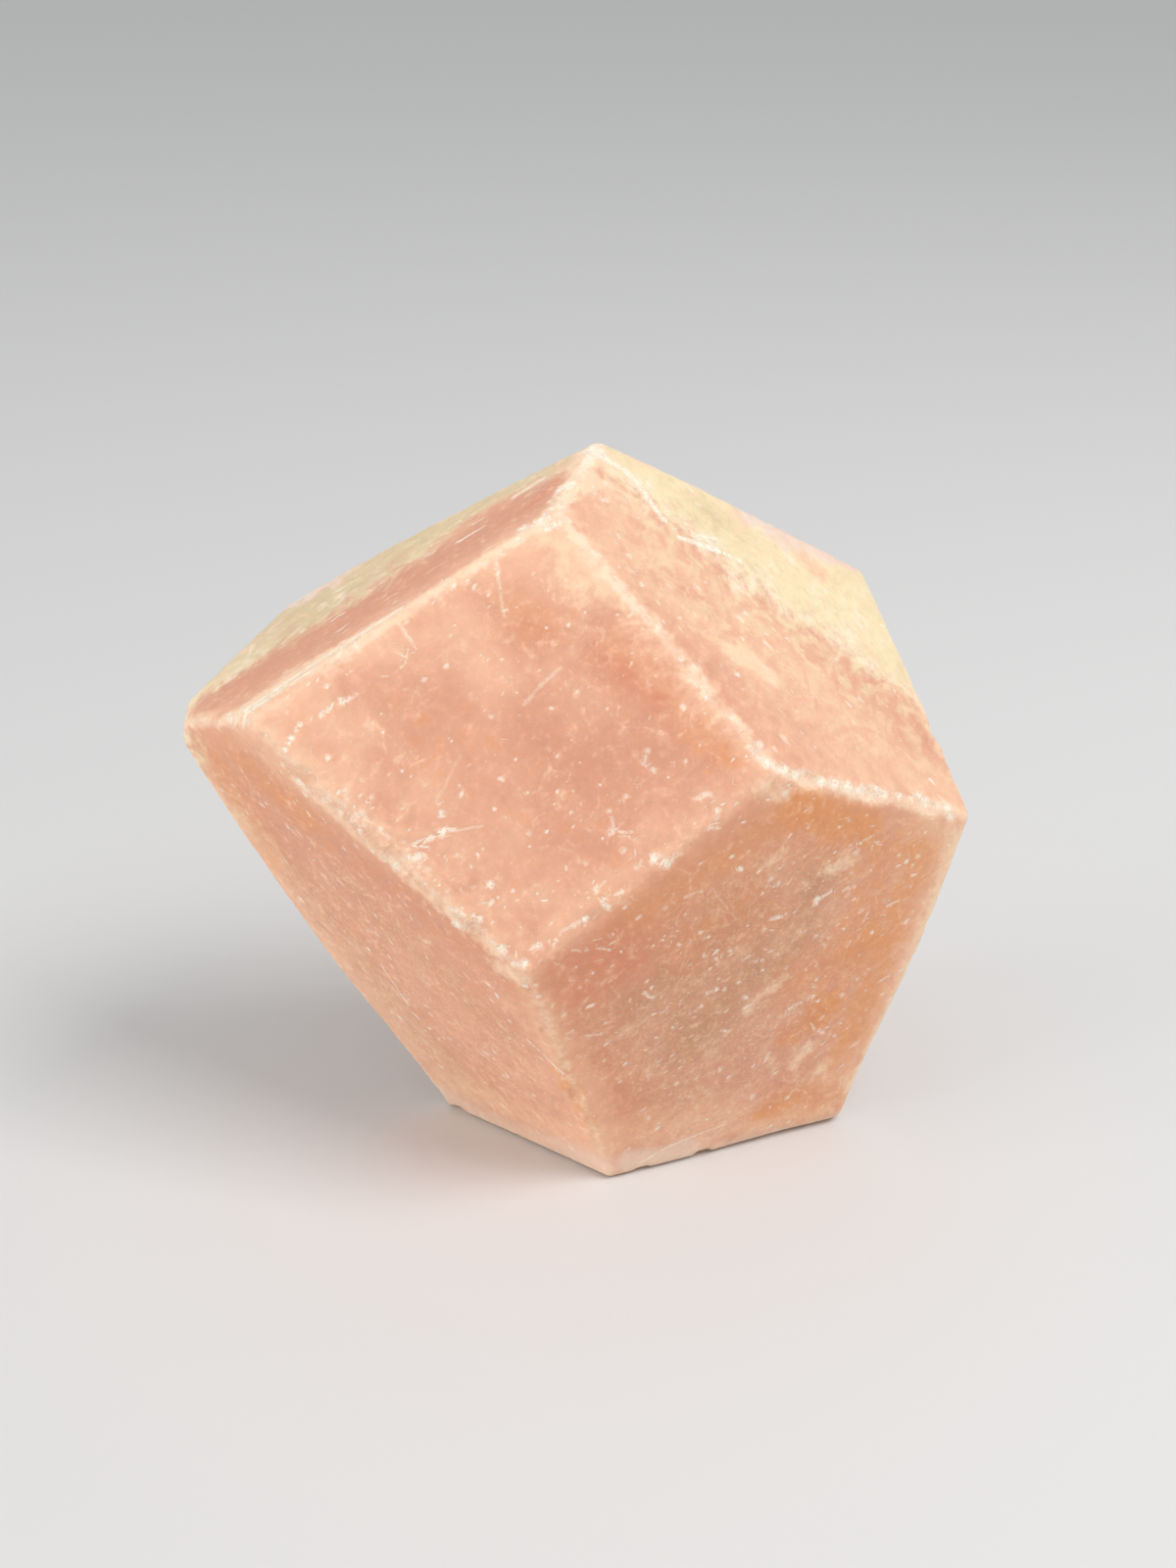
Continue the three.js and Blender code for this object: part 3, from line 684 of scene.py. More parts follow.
def placed(marks):
    """Straight marks with their two ends as places on the stone (mm)."""
    directions = np.array([direction_of(*end) for mark in marks for end in mark[:2]])
    radius = swollen_radius(worn_radius(directions, 1.0), directions)
    ends = HEART + radius[:, None] * directions
    return [(*pair, *mark[2:]) for pair, mark in zip(ends.reshape(-1, 2, 3), marks)]


def near_line(points, start, end):
    """How far points are from the line between two others."""
    line = np.subtract(end, start)
    arms = points - start
    run = np.clip(arms @ line / max(line @ line, TINY), 0, 1)
    return np.linalg.norm(arms - run[:, None] * line, axis=1)


def marked(points, lines):
    """How strongly each point is covered by some soft lines."""
    result = np.zeros(len(points))
    for start, end, reach, strength in placed(stretches(lines)):
        nearness = strength * (1 - near_line(points, start, end) / reach)
        result = np.maximum(result, nearness)
    return result


def nearest_struck(points):
    """The dent or scratch nearest each point for its size: from, to, reach and strength."""
    nearest = np.full(len(points), np.inf)
    chosen = np.zeros(len(points), dtype=int)
    struck = placed(STRUCK)
    for number, (start, end, reach, _) in enumerate(struck):
        distance = near_line(points, start, end) / reach
        nearer = distance < nearest
        nearest[nearer] = distance[nearer]
        chosen[nearer] = number
    return [np.array([mark[field] for mark in struck])[chosen] for field in range(4)]


# --- What a user may change ---


def length(name, description, default):
    """A length in metres."""
    return FloatProperty(
        name=name, description=description, default=default, min=0.0, unit="LENGTH", precision=6
    )


def colour(name, description, default):
    """A linear colour."""
    return FloatVectorProperty(
        name=name, description=description, default=default, size=3, min=0, max=1, subtype="COLOR"
    )


class OpalShape(PropertyGroup):
    """Sizes of the stone's fine surface."""

    voxel: length("Mesh size", "Size of the mesh's faces on the facets", 0.00046)
    fine_band: length("Fine band", "Width along the edges with faces half that size", 0.0022)
    wear: FloatProperty(
        name="Wear", description="Edge wear against the plain solid's", default=1.0, min=0.3, max=1
    )
    wave_height: length("Wave height", "Depth of the slow waves of hand grinding", 0.00016)
    wave_length: length("Wave length", "Length of the slow waves", 0.011)
    ripple_height: length("Ripple height", "Depth of the fine unevenness of the polish", 0.00003)
    ripple_length: length("Ripple length", "Length of the fine unevenness", 0.0022)
    erosion: length("Edge erosion", "Depth to which the edges are unevenly rubbed down", 0.00022)
    chip_seed: IntProperty(name="Chip seed", description="Which chips are drawn", default=7)


class OpalColours(PropertyGroup):
    """Colours of the stone."""

    body: colour("Body", "The pink of the stone", (0.775, 0.40, 0.265))
    # Rose also paints part of the left slope's shade and a glow along the face's lower left edge.
    rose: colour("Rose", "Deeper, dusky pink", (0.69, 0.32, 0.205))
    # Peach also paints highlight on the right slope, its rim and two lit rims, and a glow beside
    # the face's lower left edge.
    peach: colour("Peach", "Bleached pink near edges", (0.89, 0.53, 0.35))
    milk: colour("Milk", "Veins, flecks and grinding marks", (0.92, 0.63, 0.44))
    grey: colour("Grey", "Dusky, cloudy pink", (0.58, 0.29, 0.16))
    # Amber also adds to a painted glow along the face's lower left edge and warms the painted
    # highlight down the right rim.
    amber: colour("Amber", "Iron stains", (0.77, 0.305, 0.105))
    russet: colour("Russet", "Brownish red", (0.71, 0.275, 0.15))
    # Honey also paints a glow of light through the stone along the face's lower right edge.
    honey: colour("Honey", "Warm brownish pink", (0.75, 0.325, 0.155))
    cream: colour("Cream", "The seam through the stone", (0.88, 0.735, 0.465))
    # Olive also paints part of the left slope's shade.
    olive: colour("Olive", "Darker patches of the seam", (0.68, 0.535, 0.315))
    lavender: colour("Lavender", "The pale stone behind the seam", (0.85, 0.67, 0.56))
    # Worn also paints highlight: at two lit edges and down the right rim.
    worn: colour("Worn", "Rubbed edges", (0.96, 0.69, 0.475))
    fresh: colour("Fresh", "Rubbed crests and the seam's palest places", (0.985, 0.865, 0.7))
    nick: colour("Nick", "Small fresh chips and scratches", (1.0, 0.905, 0.76))


class OpalStage(PropertyGroup):
    """Light and floor."""

    floor: colour("Floor", "Colour of the floor", (0.74, 0.73, 0.72))
    key: FloatProperty(name="Key", description="Main light", default=2.1, min=0, unit="POWER")
    fill: FloatProperty(name="Fill", description="Left light", default=3.3, min=0, unit="POWER")
    sky: FloatProperty(name="Sky", description="Even light from around", default=0.57, min=0)


# --- Wiring of nodes ---


def rgba(value):
    """A colour with full alpha added."""
    return (*value, 1.0)


class Wiring:
    """Adds nodes to a tree, one short call for each."""

    def __init__(self, tree):
        self.tree = tree

    def feed(self, socket, value):
        """Links a socket into an input, or sets the input's own value."""
        if isinstance(value, bpy.types.NodeSocket):
            self.tree.links.new(value, socket)
        else:
            socket.default_value = value

    def add(self, kind, inputs=None, **settings):
        """A node with its settings, and its inputs by name or number."""
        node = self.tree.nodes.new(kind)
        for name, value in settings.items():
            setattr(node, name, value)
        for name, value in (inputs or {}).items():
            if value is not None:
                self.feed(node.inputs[name], value)
        return node

    def math(self, operation, first, second=None, third=None, clamp=False):
        """Arithmetic on numbers."""
        inputs = {0: first, 1: second, 2: third}
        node = self.add("ShaderNodeMath", inputs, operation=operation, use_clamp=clamp)
        return node.outputs[0]

    def vector(self, operation, first, second=None, scale=None):
        """Arithmetic on vectors. Dot products and lengths come out as numbers."""
        inputs = {0: first, 1: second, "Scale": scale}
        node = self.add("ShaderNodeVectorMath", inputs, operation=operation)
        gives_number = operation in ("DOT_PRODUCT", "LENGTH", "DISTANCE")
        return node.outputs["Value" if gives_number else "Vector"]

    def ramp(self, value, start, end, low=0.0, high=1.0):
        """A smooth step from low, where value is start, to high, where it is end."""
        inputs = {"Value": value, 1: start, 2: end, 3: low, 4: high}
        node = self.add("ShaderNodeMapRange", inputs, interpolation_type="SMOOTHSTEP")
        return node.outputs["Result"]

    def noise(self, place, size, detail=2.0, roughness=0.5, flat=False):
        """Soft noise from about 0 to 1, with lumps of the given size. Flat noise ignores z."""
        inputs = {"Vector": place, "Scale": 1 / size, "Detail": detail, "Roughness": roughness}
        dimensions = "2D" if flat else "3D"
        return self.add("ShaderNodeTexNoise", inputs, noise_dimensions=dimensions).outputs[0]

    def colour_noise(self, place, size, detail=1.0):
        """Three independent soft noises, as a vector."""
        inputs = {"Vector": place, "Scale": 1 / size, "Detail": detail}
        return self.add("ShaderNodeTexNoise", inputs).outputs["Color"]

    def moved(self, place, noise, reach):
        """The place moved about by up to the given reach, as a colour noise says."""
        centred = self.vector("SUBTRACT", noise, (0.5, 0.5, 0.5))
        return self.vector("ADD", place, self.vector("SCALE", centred, scale=2 * reach))

    def cells(self, place, size):
        """A flat cell pattern's node."""
        inputs = {"Vector": place, "Scale": 1 / size}
        return self.add("ShaderNodeTexVoronoi", inputs, voronoi_dimensions="2D")

    def mix(self, amount, first, second):
        """One colour laid over another."""
        inputs = {"Factor": amount, 6: first, 7: second}
        node = self.add("ShaderNodeMix", inputs, data_type="RGBA", clamp_factor=True)
        return node.outputs[2]

    def product(self, *values):
        """All the values multiplied."""
        return reduce(lambda result, value: self.math("MULTIPLY", result, value), values)

    def largest(self, *values):
        """The largest of the values."""
        return reduce(lambda result, value: self.math("MAXIMUM", result, value), values)

    def swayed(self, value, noise, reach):
        """A value moved up and down by a noise, by up to half the given reach."""
        return self.math("MULTIPLY_ADD", self.math("SUBTRACT", noise, 0.5), reach, value)

    def ragged(self, value, noise, start, end, reach):
        """A smooth step of a value, its outline made ragged by a noise."""
        return self.ramp(self.swayed(value, noise, reach), start, end)

    def lay(self, tint, colour, *shares):
        """A colour laid over another, as strongly as the product of the shares says."""
        return self.mix(self.product(*shares), tint, rgba(colour))


# --- Waves, worn edges and chips, as Geometry Nodes ---

# Chips along the edges come in sizes: how many to a square metre of edge, the radius of the ball
# that fits the bite and its depth (smallest and largest, in metres), how close to an edge they
# keep (mm), and how strongly small ones outnumber large ones.
CHIP_SIZES = {
    "large": (2.0e4, (0.0022, 0.0042), (0.00010, 0.00030), 0.5, 1.5),
    "middle": (1.6e5, (0.0009, 0.0020), (0.00006, 0.00016), 0.8, 2.0),
    "small": (6.0e5, (0.0004, 0.0008), (0.00004, 0.00010), 1.5, 2.0),
}
# Chips are densest within this share of the distance that they keep, and thin out beyond it.
CHIP_CROWD = 0.3
# The foot keeps its flat: detail fades in over this height above it (metres).
FOOT_GUARD = 0.0012
# Roughness of a bite's inside, as a share of its depth, and the size of its lumps (metres). No
# bite sinks in by more than this many times its depth.
BITE_ROUGHNESS = 0.9
BITE_LUMPS = 0.0007
BITE_LIMIT = 1.5
# Uneven rubbing starts at the first of these distances from an edge (mm) and is whole at the
# second. It comes in lumps of this size (metres), which start and are whole at these values of
# their noise.
RUBBING_REACH = (1.3, 0.1)
RUBBING_LUMPS = 0.0026
RUBBING_NOISE = (0.45, 0.75)
# The sizes that the wear takes from OpalShape.
WEAR_SIZES = ("wave_height", "wave_length", "ripple_height", "ripple_length", "erosion")


def named_attribute(wiring, name, kind="FLOAT"):
    """A named attribute's value."""
    node = wiring.add("GeometryNodeInputNamedAttribute", {"Name": name}, data_type=kind)
    return node.outputs["Attribute"]


def stored(wiring, geometry, name, value, kind="FLOAT"):
    """The geometry with a value stored on its points."""
    settings = {"data_type": kind, "domain": "POINT"}
    inputs = {"Geometry": geometry, "Name": name, "Value": value}
    return wiring.add("GeometryNodeStoreNamedAttribute", inputs, **settings).outputs[0]


def random_between(wiring, limits, seed, skew):
    """A random number between two limits, nearer the lower one the larger the skew is."""
    node = wiring.add("FunctionNodeRandomValue", {2: 0.0, 3: 1.0, "Seed": seed}, data_type="FLOAT")
    low, high = limits
    share_of_range = wiring.math("POWER", node.outputs[1], skew)
    return wiring.math("MULTIPLY_ADD", share_of_range, high - low, low)


def chip_points(wiring, skin, seed, size_name):
    """Points scattered along the edges, each with the ball and depth of its chip."""
    density, ball, depth, reach, skew = CHIP_SIZES[size_name]
    edge = named_attribute(wiring, "edge_distance")
    nearness = wiring.ramp(edge, reach, CHIP_CROWD * reach)
    inputs = {"Mesh": skin, "Density": wiring.product(nearness, density), "Seed": seed}
    scatter = wiring.add("GeometryNodeDistributePointsOnFaces", inputs)
    points = scatter.outputs["Points"]
    points = stored(wiring, points, "ball", random_between(wiring, ball, 1, skew))
    points = stored(wiring, points, "depth", random_between(wiring, depth, 2, skew))
    return stored(wiring, points, "facing", scatter.outputs["Normal"], "FLOAT_VECTOR")


def sampled(wiring, points, value, index, kind="FLOAT"):
    """A value of the chip with the given index."""
    inputs = {"Geometry": points, "Value": value, "Index": index}
    return wiring.add("GeometryNodeSampleIndex", inputs, data_type=kind).outputs[0]


def bitten(wiring, skin, points, texture):
    """The skin with each place inside a chip's ball pushed in to the ball's far side."""
    place = wiring.add("GeometryNodeInputPosition").outputs[0]
    inputs = {"Geometry": points, "Sample Position": place}
    index = wiring.add("GeometryNodeSampleNearest", inputs).outputs[0]
    ball = sampled(wiring, points, named_attribute(wiring, "ball"), index)
    depth = sampled(wiring, points, named_attribute(wiring, "depth"), index)
    chip = sampled(wiring, points, place, index, "FLOAT_VECTOR")
    facing_of_chip = named_attribute(wiring, "facing", "FLOAT_VECTOR")
    facing = sampled(wiring, points, facing_of_chip, index, "FLOAT_VECTOR")
    lift = wiring.math("SUBTRACT", ball, depth)
    centre = wiring.vector("ADD", chip, wiring.vector("SCALE", facing, scale=lift))
    arm = wiring.vector("SUBTRACT", place, centre)
    along = wiring.vector("DOT_PRODUCT", arm, facing)
    reach = wiring.math("MULTIPLY_ADD", texture, depth, ball)
    arm_squared = wiring.vector("DOT_PRODUCT", arm, arm)
    inside = wiring.math("SUBTRACT", wiring.product(reach, reach), arm_squared)
    beneath = wiring.math("MAXIMUM", wiring.math("MULTIPLY_ADD", along, along, inside), 0.0)
    sink = wiring.math("ADD", along, wiring.math("SQRT", beneath))
    sink = wiring.math("MAXIMUM", sink, 0.0)
    sink = wiring.product(sink, wiring.math("GREATER_THAN", inside, 0.0))
    sink = wiring.math("MINIMUM", sink, wiring.product(depth, BITE_LIMIT))
    offset = wiring.vector("SCALE", facing, scale=wiring.product(sink, -1.0))
    share_sunk = wiring.math("DIVIDE", sink, depth)
    known = named_attribute(wiring, "chip")
    skin = stored(wiring, skin, "chip", wiring.math("MAXIMUM", known, share_sunk))
    return wiring.add("GeometryNodeSetPosition", {"Geometry": skin, "Offset": offset}).outputs[0]


def wear_tree(material):
    """Geometry Nodes that wave, rub down and chip the stone's skin."""
    tree = bpy.data.node_groups.new("Opal wear", "GeometryNodeTree")
    kinds = {"Stone": "NodeSocketGeometry", **dict.fromkeys(WEAR_SIZES, "NodeSocketFloat")}
    kinds["chip_seed"] = "NodeSocketInt"
    for name, kind in kinds.items():
        tree.interface.new_socket(name=name, in_out="INPUT", socket_type=kind)
    tree.interface.new_socket(name="Stone", in_out="OUTPUT", socket_type=kinds["Stone"])
    wiring = Wiring(tree)
    given = wiring.add("NodeGroupInput").outputs
    skin = rubbed_skin(wiring, given)
    place = wiring.add("GeometryNodeInputPosition").outputs[0]
    lumps = wiring.noise(place, BITE_LUMPS, detail=3.0, roughness=0.6)
    texture = wiring.math("MULTIPLY", wiring.math("SUBTRACT", lumps, 0.5), BITE_ROUGHNESS)
    for step, size_name in enumerate(CHIP_SIZES):
        seed = wiring.math("ADD", given["chip_seed"], float(step))
        skin = bitten(wiring, skin, chip_points(wiring, skin, seed, size_name), texture)
    whole = wiring.add("GeometryNodeRealizeInstances", {"Geometry": skin}).outputs[0]
    coated = wiring.add("GeometryNodeSetMaterial", {"Geometry": whole, "Material": material})
    wiring.add("NodeGroupOutput", {0: coated.outputs[0]})
    return tree


def lumps_of(wiring, place, size, detail):
    """Soft noise whose lumps have a size that the tree is given."""
    node = wiring.add("ShaderNodeTexNoise", {"Vector": place, "Detail": detail})
    wiring.feed(node.inputs["Scale"], wiring.math("DIVIDE", 1.0, size))
    return node.outputs[0]


def rubbed_skin(wiring, given):
    """The skin pressed in by slow waves, fine ripples and uneven rubbing along its edges."""
    place = wiring.add("GeometryNodeInputPosition").outputs[0]
    normal = wiring.add("GeometryNodeInputNormal").outputs[0]
    edge = named_attribute(wiring, "edge_distance")
    height = wiring.add("ShaderNodeSeparateXYZ", {0: place}).outputs["Z"]
    waves = lumps_of(wiring, place, given["wave_length"], 1.0)
    ripples = lumps_of(wiring, place, given["ripple_length"], 3.0)
    rubbing = wiring.ramp(wiring.noise(place, RUBBING_LUMPS, detail=3.0), *RUBBING_NOISE)
    rubbing = wiring.product(rubbing, wiring.ramp(edge, *RUBBING_REACH))
    sink = wiring.product(waves, given["wave_height"])
    sink = wiring.math("MULTIPLY_ADD", ripples, given["ripple_height"], sink)
    sink = wiring.math("MULTIPLY_ADD", rubbing, given["erosion"], sink)
    sink = wiring.product(sink, wiring.ramp(height, 0.0, FOOT_GUARD), -1.0)
    offset = wiring.vector("SCALE", normal, scale=sink)
    inputs = {"Geometry": given["Stone"], "Offset": offset}
    return wiring.add("GeometryNodeSetPosition", inputs).outputs[0]


# --- The stone's mesh ---


def linked_object(name, mesh):
    """A new object in the scene."""
    thing = bpy.data.objects.new(name, mesh)
    bpy.context.scene.collection.objects.link(thing)
    return thing


def merged_copy(node):
    """A copy of a node's mesh whose loose triangles are joined."""
    mesh = node.data.copy()
    form = bmesh.new()
    form.from_mesh(mesh)
    bmesh.ops.remove_doubles(form, verts=form.verts, dist=TINY)
    form.to_mesh(mesh)
    form.free()
    return mesh


def plain_mesh(thing):
    """What an object's modifiers make of it, as a plain mesh. The modifiers are removed."""
    graph = bpy.context.evaluated_depsgraph_get()
    made = bpy.data.meshes.new_from_object(thing.evaluated_get(graph))
    thing.modifiers.clear()
    made.name = thing.name
    thing.data = made
    return made


def refine_edges(mesh, band):
    """Halves the faces that lie within the band along the stone's edges."""
    directions = directions_of(mesh)
    _, distances = edge_distances(sharp_radius(directions)[:, None] * directions)
    close = distances.min(axis=1) < band / MM / 2
    form = bmesh.new()
    form.from_mesh(mesh)
    form.verts.ensure_lookup_table()
    chosen = [edge for edge in form.edges if all(close[end.index] for end in edge.verts)]
    bmesh.ops.subdivide_edges(form, edges=chosen, cuts=1, use_grid_fill=True)
    form.to_mesh(mesh)
    form.free()


def store(mesh, name, values):
    """Stores a number or a vector for each of a mesh's points."""
    kind, field = ("FLOAT", "value") if values.ndim == 1 else ("FLOAT_VECTOR", "vector")
    attribute = mesh.attributes.new(name, kind, "POINT")
    attribute.data.foreach_set(field, np.ascontiguousarray(values, dtype=np.float32).ravel())


def surface_facts(places, worn, chipped):
    """What the colours and the wear need to know about each point, by name."""
    facet, distances = edge_distances(worn)
    start, end, reach, strength = nearest_struck(places)
    return {
        "edge_distance": distances.min(axis=1),
        "paleness": from_edges(paleness_table(), facet, distances),
        "bleach": from_edges(rim_table(0), facet, distances),
        "crowding": from_edges(rim_table(1), facet, distances),
        "coarseness": COARSENESS[facet],
        "grinding": grinding_coordinates(places, facet),
        "chip": chipped,
        **{name: marked(places, lines) for name, lines in MARKS.items()},
        "struck_from": start,
        "struck_to": end,
        "struck_reach": reach,
        "struck_strength": strength,
    }


def grind(mesh, wear_share):
    """Moves each vertex along its ray from the heart onto the worn, swollen, chipped surface."""
    directions = directions_of(mesh)
    worn = worn_radius(directions, wear_share)
    radius = swollen_radius(worn, directions)
    bite = radius - plain_radius(directions)
    if bite.min() < -AGREEMENT or np.median(np.abs(bite)) > AGREEMENT:
        raise RuntimeError("the stone's facets don't agree with the plain solid's")
    chipped = smoothstep((bite - BITE_STARTS) / (BITE_IS_WHOLE - BITE_STARTS))
    places = HEART + (radius - chipped * bite)[:, None] * directions
    mesh.vertices.foreach_set("co", (places * MM).ravel())
    for name, values in surface_facts(places, worn[:, None] * directions, chipped).items():
        store(mesh, name, values)
    mesh.update()


def keep_in_box(mesh):
    """Brings any vertex that lies outside the plain solid's box back to it."""
    low, high = (np.array(corner) for corner in cad_box)
    places = np.empty(len(mesh.vertices) * 3)
    mesh.vertices.foreach_get("co", places)
    mesh.vertices.foreach_set("co", np.clip(places.reshape(-1, 3), low, high).ravel())
    mesh.update()


def wear_down(stone, shape, material):
    """Runs the Geometry Nodes wear on the stone."""
    tree = wear_tree(material)
    modifier = stone.modifiers.new("Opal wear", "NODES")
    modifier.node_group = tree
    for socket in tree.interface.items_tree:
        if hasattr(shape, socket.name):
            modifier[socket.identifier] = getattr(shape, socket.name)
    return plain_mesh(stone)


def make_stone(shape, colours):
    """The finished stone."""
    stone = linked_object(PIECE, merged_copy(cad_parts[NODE]))
    remesh = stone.modifiers.new("Even mesh", "REMESH")
    remesh.mode = "VOXEL"
    remesh.voxel_size = shape.voxel
    mesh = plain_mesh(stone)
    refine_edges(mesh, shape.fine_band)
    grind(mesh, shape.wear)
    mesh = wear_down(stone, shape, opal_material(colours))
    keep_in_box(mesh)
    mesh.shade_smooth()
    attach(stone, BODY)
    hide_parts(NODE)
    return stone


# --- The stone's colours ---

# The seam's front lies where x, y and z times these add up to SEAM_FRONT (mm).
SEAM_SLANT = (-0.05, 1.0, -0.21)
SEAM_FRONT = -9.1
# The seam's front wavers: at which x, how far to each side, and how far back it lies there (mm).
SEAM_WAVERS = ((-24.0, 9.0, -1.0), (-8.0, 9.0, 1.5), (13.0, 9.0, -1.0), (31.0, 12.0, 2.0))
# The seam's thickness (mm) at the stone's middle, and how much it grows with x. The thicker of
# the two counts: one decides to the right, the other to the left.
SEAM_THICKNESSES = ((4.8, 0.12), (5.0, -0.1))
# Up to the first of these heights (mm) the seam shows only faintly, and from the second fully.
SEAM_HEIGHTS = (26.0, 40.0)
SEAM_FAINT = 0.12
# Clouds and bands shift the seam's two sides by up to half of these (mm).
SEAM_CLOUDS = 4.5
SEAM_BANDS = 2.5
SEAM_STRENGTH = 0.96
# A pale lip fades in between the first two of these depths (mm) in the seam, and out between the
# other two.
LIP_STARTS = (-0.6, 0.4)
LIP_ENDS = (2.2, 0.6)
# A haze of cream lies before the seam. It fades in over these depths (mm) and, towards the
# right, over these x.
HAZE_DEPTHS = (-14.0, -1.0)
HAZE_SIDES = (-3.0, 7.0)
HAZE_STRENGTH = 0.55
# Behind the seam the stone is paler. That starts to fade, and is gone, this far behind it (mm).
PALE_STONE = (1.5, 6.5)

# How far apart (mm) the swirls lie that the noises drift with, and how far they are carried.
SWIRL_SIZE = 5.0
SWIRL_REACH = 2.4
# The size (mm) of the lumps that jitter the outlines of specks and dents.
JITTER_SIZE = 1.1
# The noises that the layers share: the place they start from, the size of their lumps (mm), their
# detail and their roughness. Those that start from "ground" are drawn out along grinding marks.
NOISES = {
    "broad": ("drift", 11.0, 2.0, 0.5),
    "patch": ("drift", 3.4, 4.0, 0.62),
    "cloud": ("drift", 1.6, 2.0, 0.55),
    "grain": ("place", 0.85, 3.0, 0.62),
    "fine": ("place", 0.36, 1.0, 0.6),
    "streak": ("ground", 0.22, 2.0, 0.65),
    "band": ("ground", 0.9, 3.0, 0.65),
}
# Grinding marks bend by up to half this (mm), over this length.
BEND_REACH = 1.2
BEND_LENGTH = 2.5

# How soft marks get their ragged outlines: the noise that does it, the strengths at which they
# start and are whole, and how far the noise moves those, half of it each way.
USUAL_OUTLINE = ("patch", 0.0, 0.95, 0.7)
OUTLINES = {
    "amber": ("cloud", 0.0, 1.0, 1.3),
    "olive": ("band", 0.0, 0.9, 1.6),
    "flush": ("grain", 0.1, 0.8, 1.2),
    "milk": ("grain", 0.1, 0.9, 1.2),
    "chip": ("grain", 0.55, 0.9, 1.2),
}
# The body's pink: a noise, the values at which a layer starts and is whole, its strength there
# and its colour.
BODY_NOISES = (
    ("broad", 0.40, 0.64, 0.45, "rose"),
    ("patch", 0.46, 0.78, 0.6, "peach"),
    ("patch", 0.52, 0.24, 0.5, "rose"),
)
# The kinds of marks that colour the body, and how strongly.
BODY_MARKS = {
    "grey": 0.8, "peach": 0.75, "rose": 0.9, "honey": 0.95, "russet": 0.9, "lavender": 0.8,
}
# Kinds of marks where the finish is finer than in the rest of the facet.
CALM_MARKS = ("rose", "amber", "russet", "honey")
# Beside an edge the finish is finer, most of all up to the first of these distances (mm), and
# from the second on no finer.
CALM_RIM = (0.8, 4.5)
# Layers in the seam, under it, over it, and on top of all: their mask, strength and colour.
IN_SEAM = (
    # Olive patches of the seam, on the left slope partly painted shade.
    ("aged_and_shaded", 0.9, "olive"),
    ("spotted", 0.4, "olive"),
    ("clouded", 0.7, "fresh"),
    ("pink", 0.6, "peach"),
    ("flushed", 0.75, "peach"),
)
# The first layer is bleaching along the rims, and at two rims painted highlight.
UNDER_SEAM = (("bleached", 0.85, "peach"), ("amber", 0.85, "amber"))
OVER_SEAM = (
    ("milk", 0.8, "worn"),
    ("wisps", 0.45, "milk"),
    ("flecks", 0.6, "milk"),
    ("dark_bands", 0.35, "rose"),
    ("light_bands", 0.3, "milk"),
    ("streaks", 0.75, "milk"),
)
ON_TOP = (
    ("bloom", 0.88, "worn"),
    ("crest", 0.6, "nick"),
    ("pale_chips", 0.35, "worn"),
    ("specks", 0.7, "nick"),
    ("struck", 0.9, "nick"),
)
# How deep (mm) these masks lie below the surface where they are whole.
RELIEFS = {"specks": 0.08, "struck": 0.1, "streaks": 0.03}
# The relief of the grain (mm), what a coarse finish adds to it, and that of its streaks.
GRAIN_RELIEF = 0.035
COARSE_RELIEF = 0.07
STREAK_RELIEF = 0.035
# How rough the polish is from place to place, and what worn and coarse places add to that.
ROUGHNESSES = (0.36, 0.52)
WORN_ROUGHNESS = 0.16
COARSE_ROUGHNESS = 0.08
# How far clouds and grain, and the streaks of a coarse finish, change the stone's lightness.
UNEVENNESS = 0.12
STREAK_UNEVENNESS = 0.25

# Bleaching, and at two rims painted highlight, reaches as far from an edge (mm) as the patch
# noise, times the first of these plus the second, says, and at least as far as the third.
BLEACH_WIDTH = (15.0, -3.0)
BLEACH_LEAST = 0.8
# The bloom of an edge is as wide (mm) as its bleaching and painted highlight, times the first of
# these plus the second.
BLOOM_WIDTH = (1.2, 0.9)
# The wisps' web: the size of its meshes (mm), and the width of its threads in the noise's values.
WISP_SIZE = 4.2
WISP_WIDTH = 0.035
# Flecks and specks start to crowd at the first of these distances from an edge (mm), and are
# most crowded from the second on.
FLECK_RIM = (7.0, 0.5)
SPECK_RIM = (3.4, 0.6)

# Specks come in sizes: how far apart their places are, how far one reaches at most as a share of
# that, and how rare they are.
SPECK_SIZES = ((1.5, 0.17, 1.0), (0.7, 0.24, 0.97))
# How far (mm) the outlines of specks and of dents are jittered.
SPECK_JITTER = 0.3
DENT_JITTER = 0.15


def attribute(wiring, name, output="Fac"):
    """A number stored on the mesh, or with the output "Vector" a vector."""
    return wiring.add("ShaderNodeAttribute", attribute_name=name).outputs[output]


def ground_place(wiring):
    """The place along and across the grinding marks, which bend a little."""
    place = attribute(wiring, "grinding", "Vector")
    bend = wiring.noise(place, BEND_LENGTH, detail=1.0, flat=True)
    bend = wiring.math("MULTIPLY_ADD", bend, BEND_REACH, -BEND_REACH / 2)
    aside = wiring.add("ShaderNodeCombineXYZ", {"Y": bend}).outputs[0]
    return wiring.vector("ADD", place, aside)


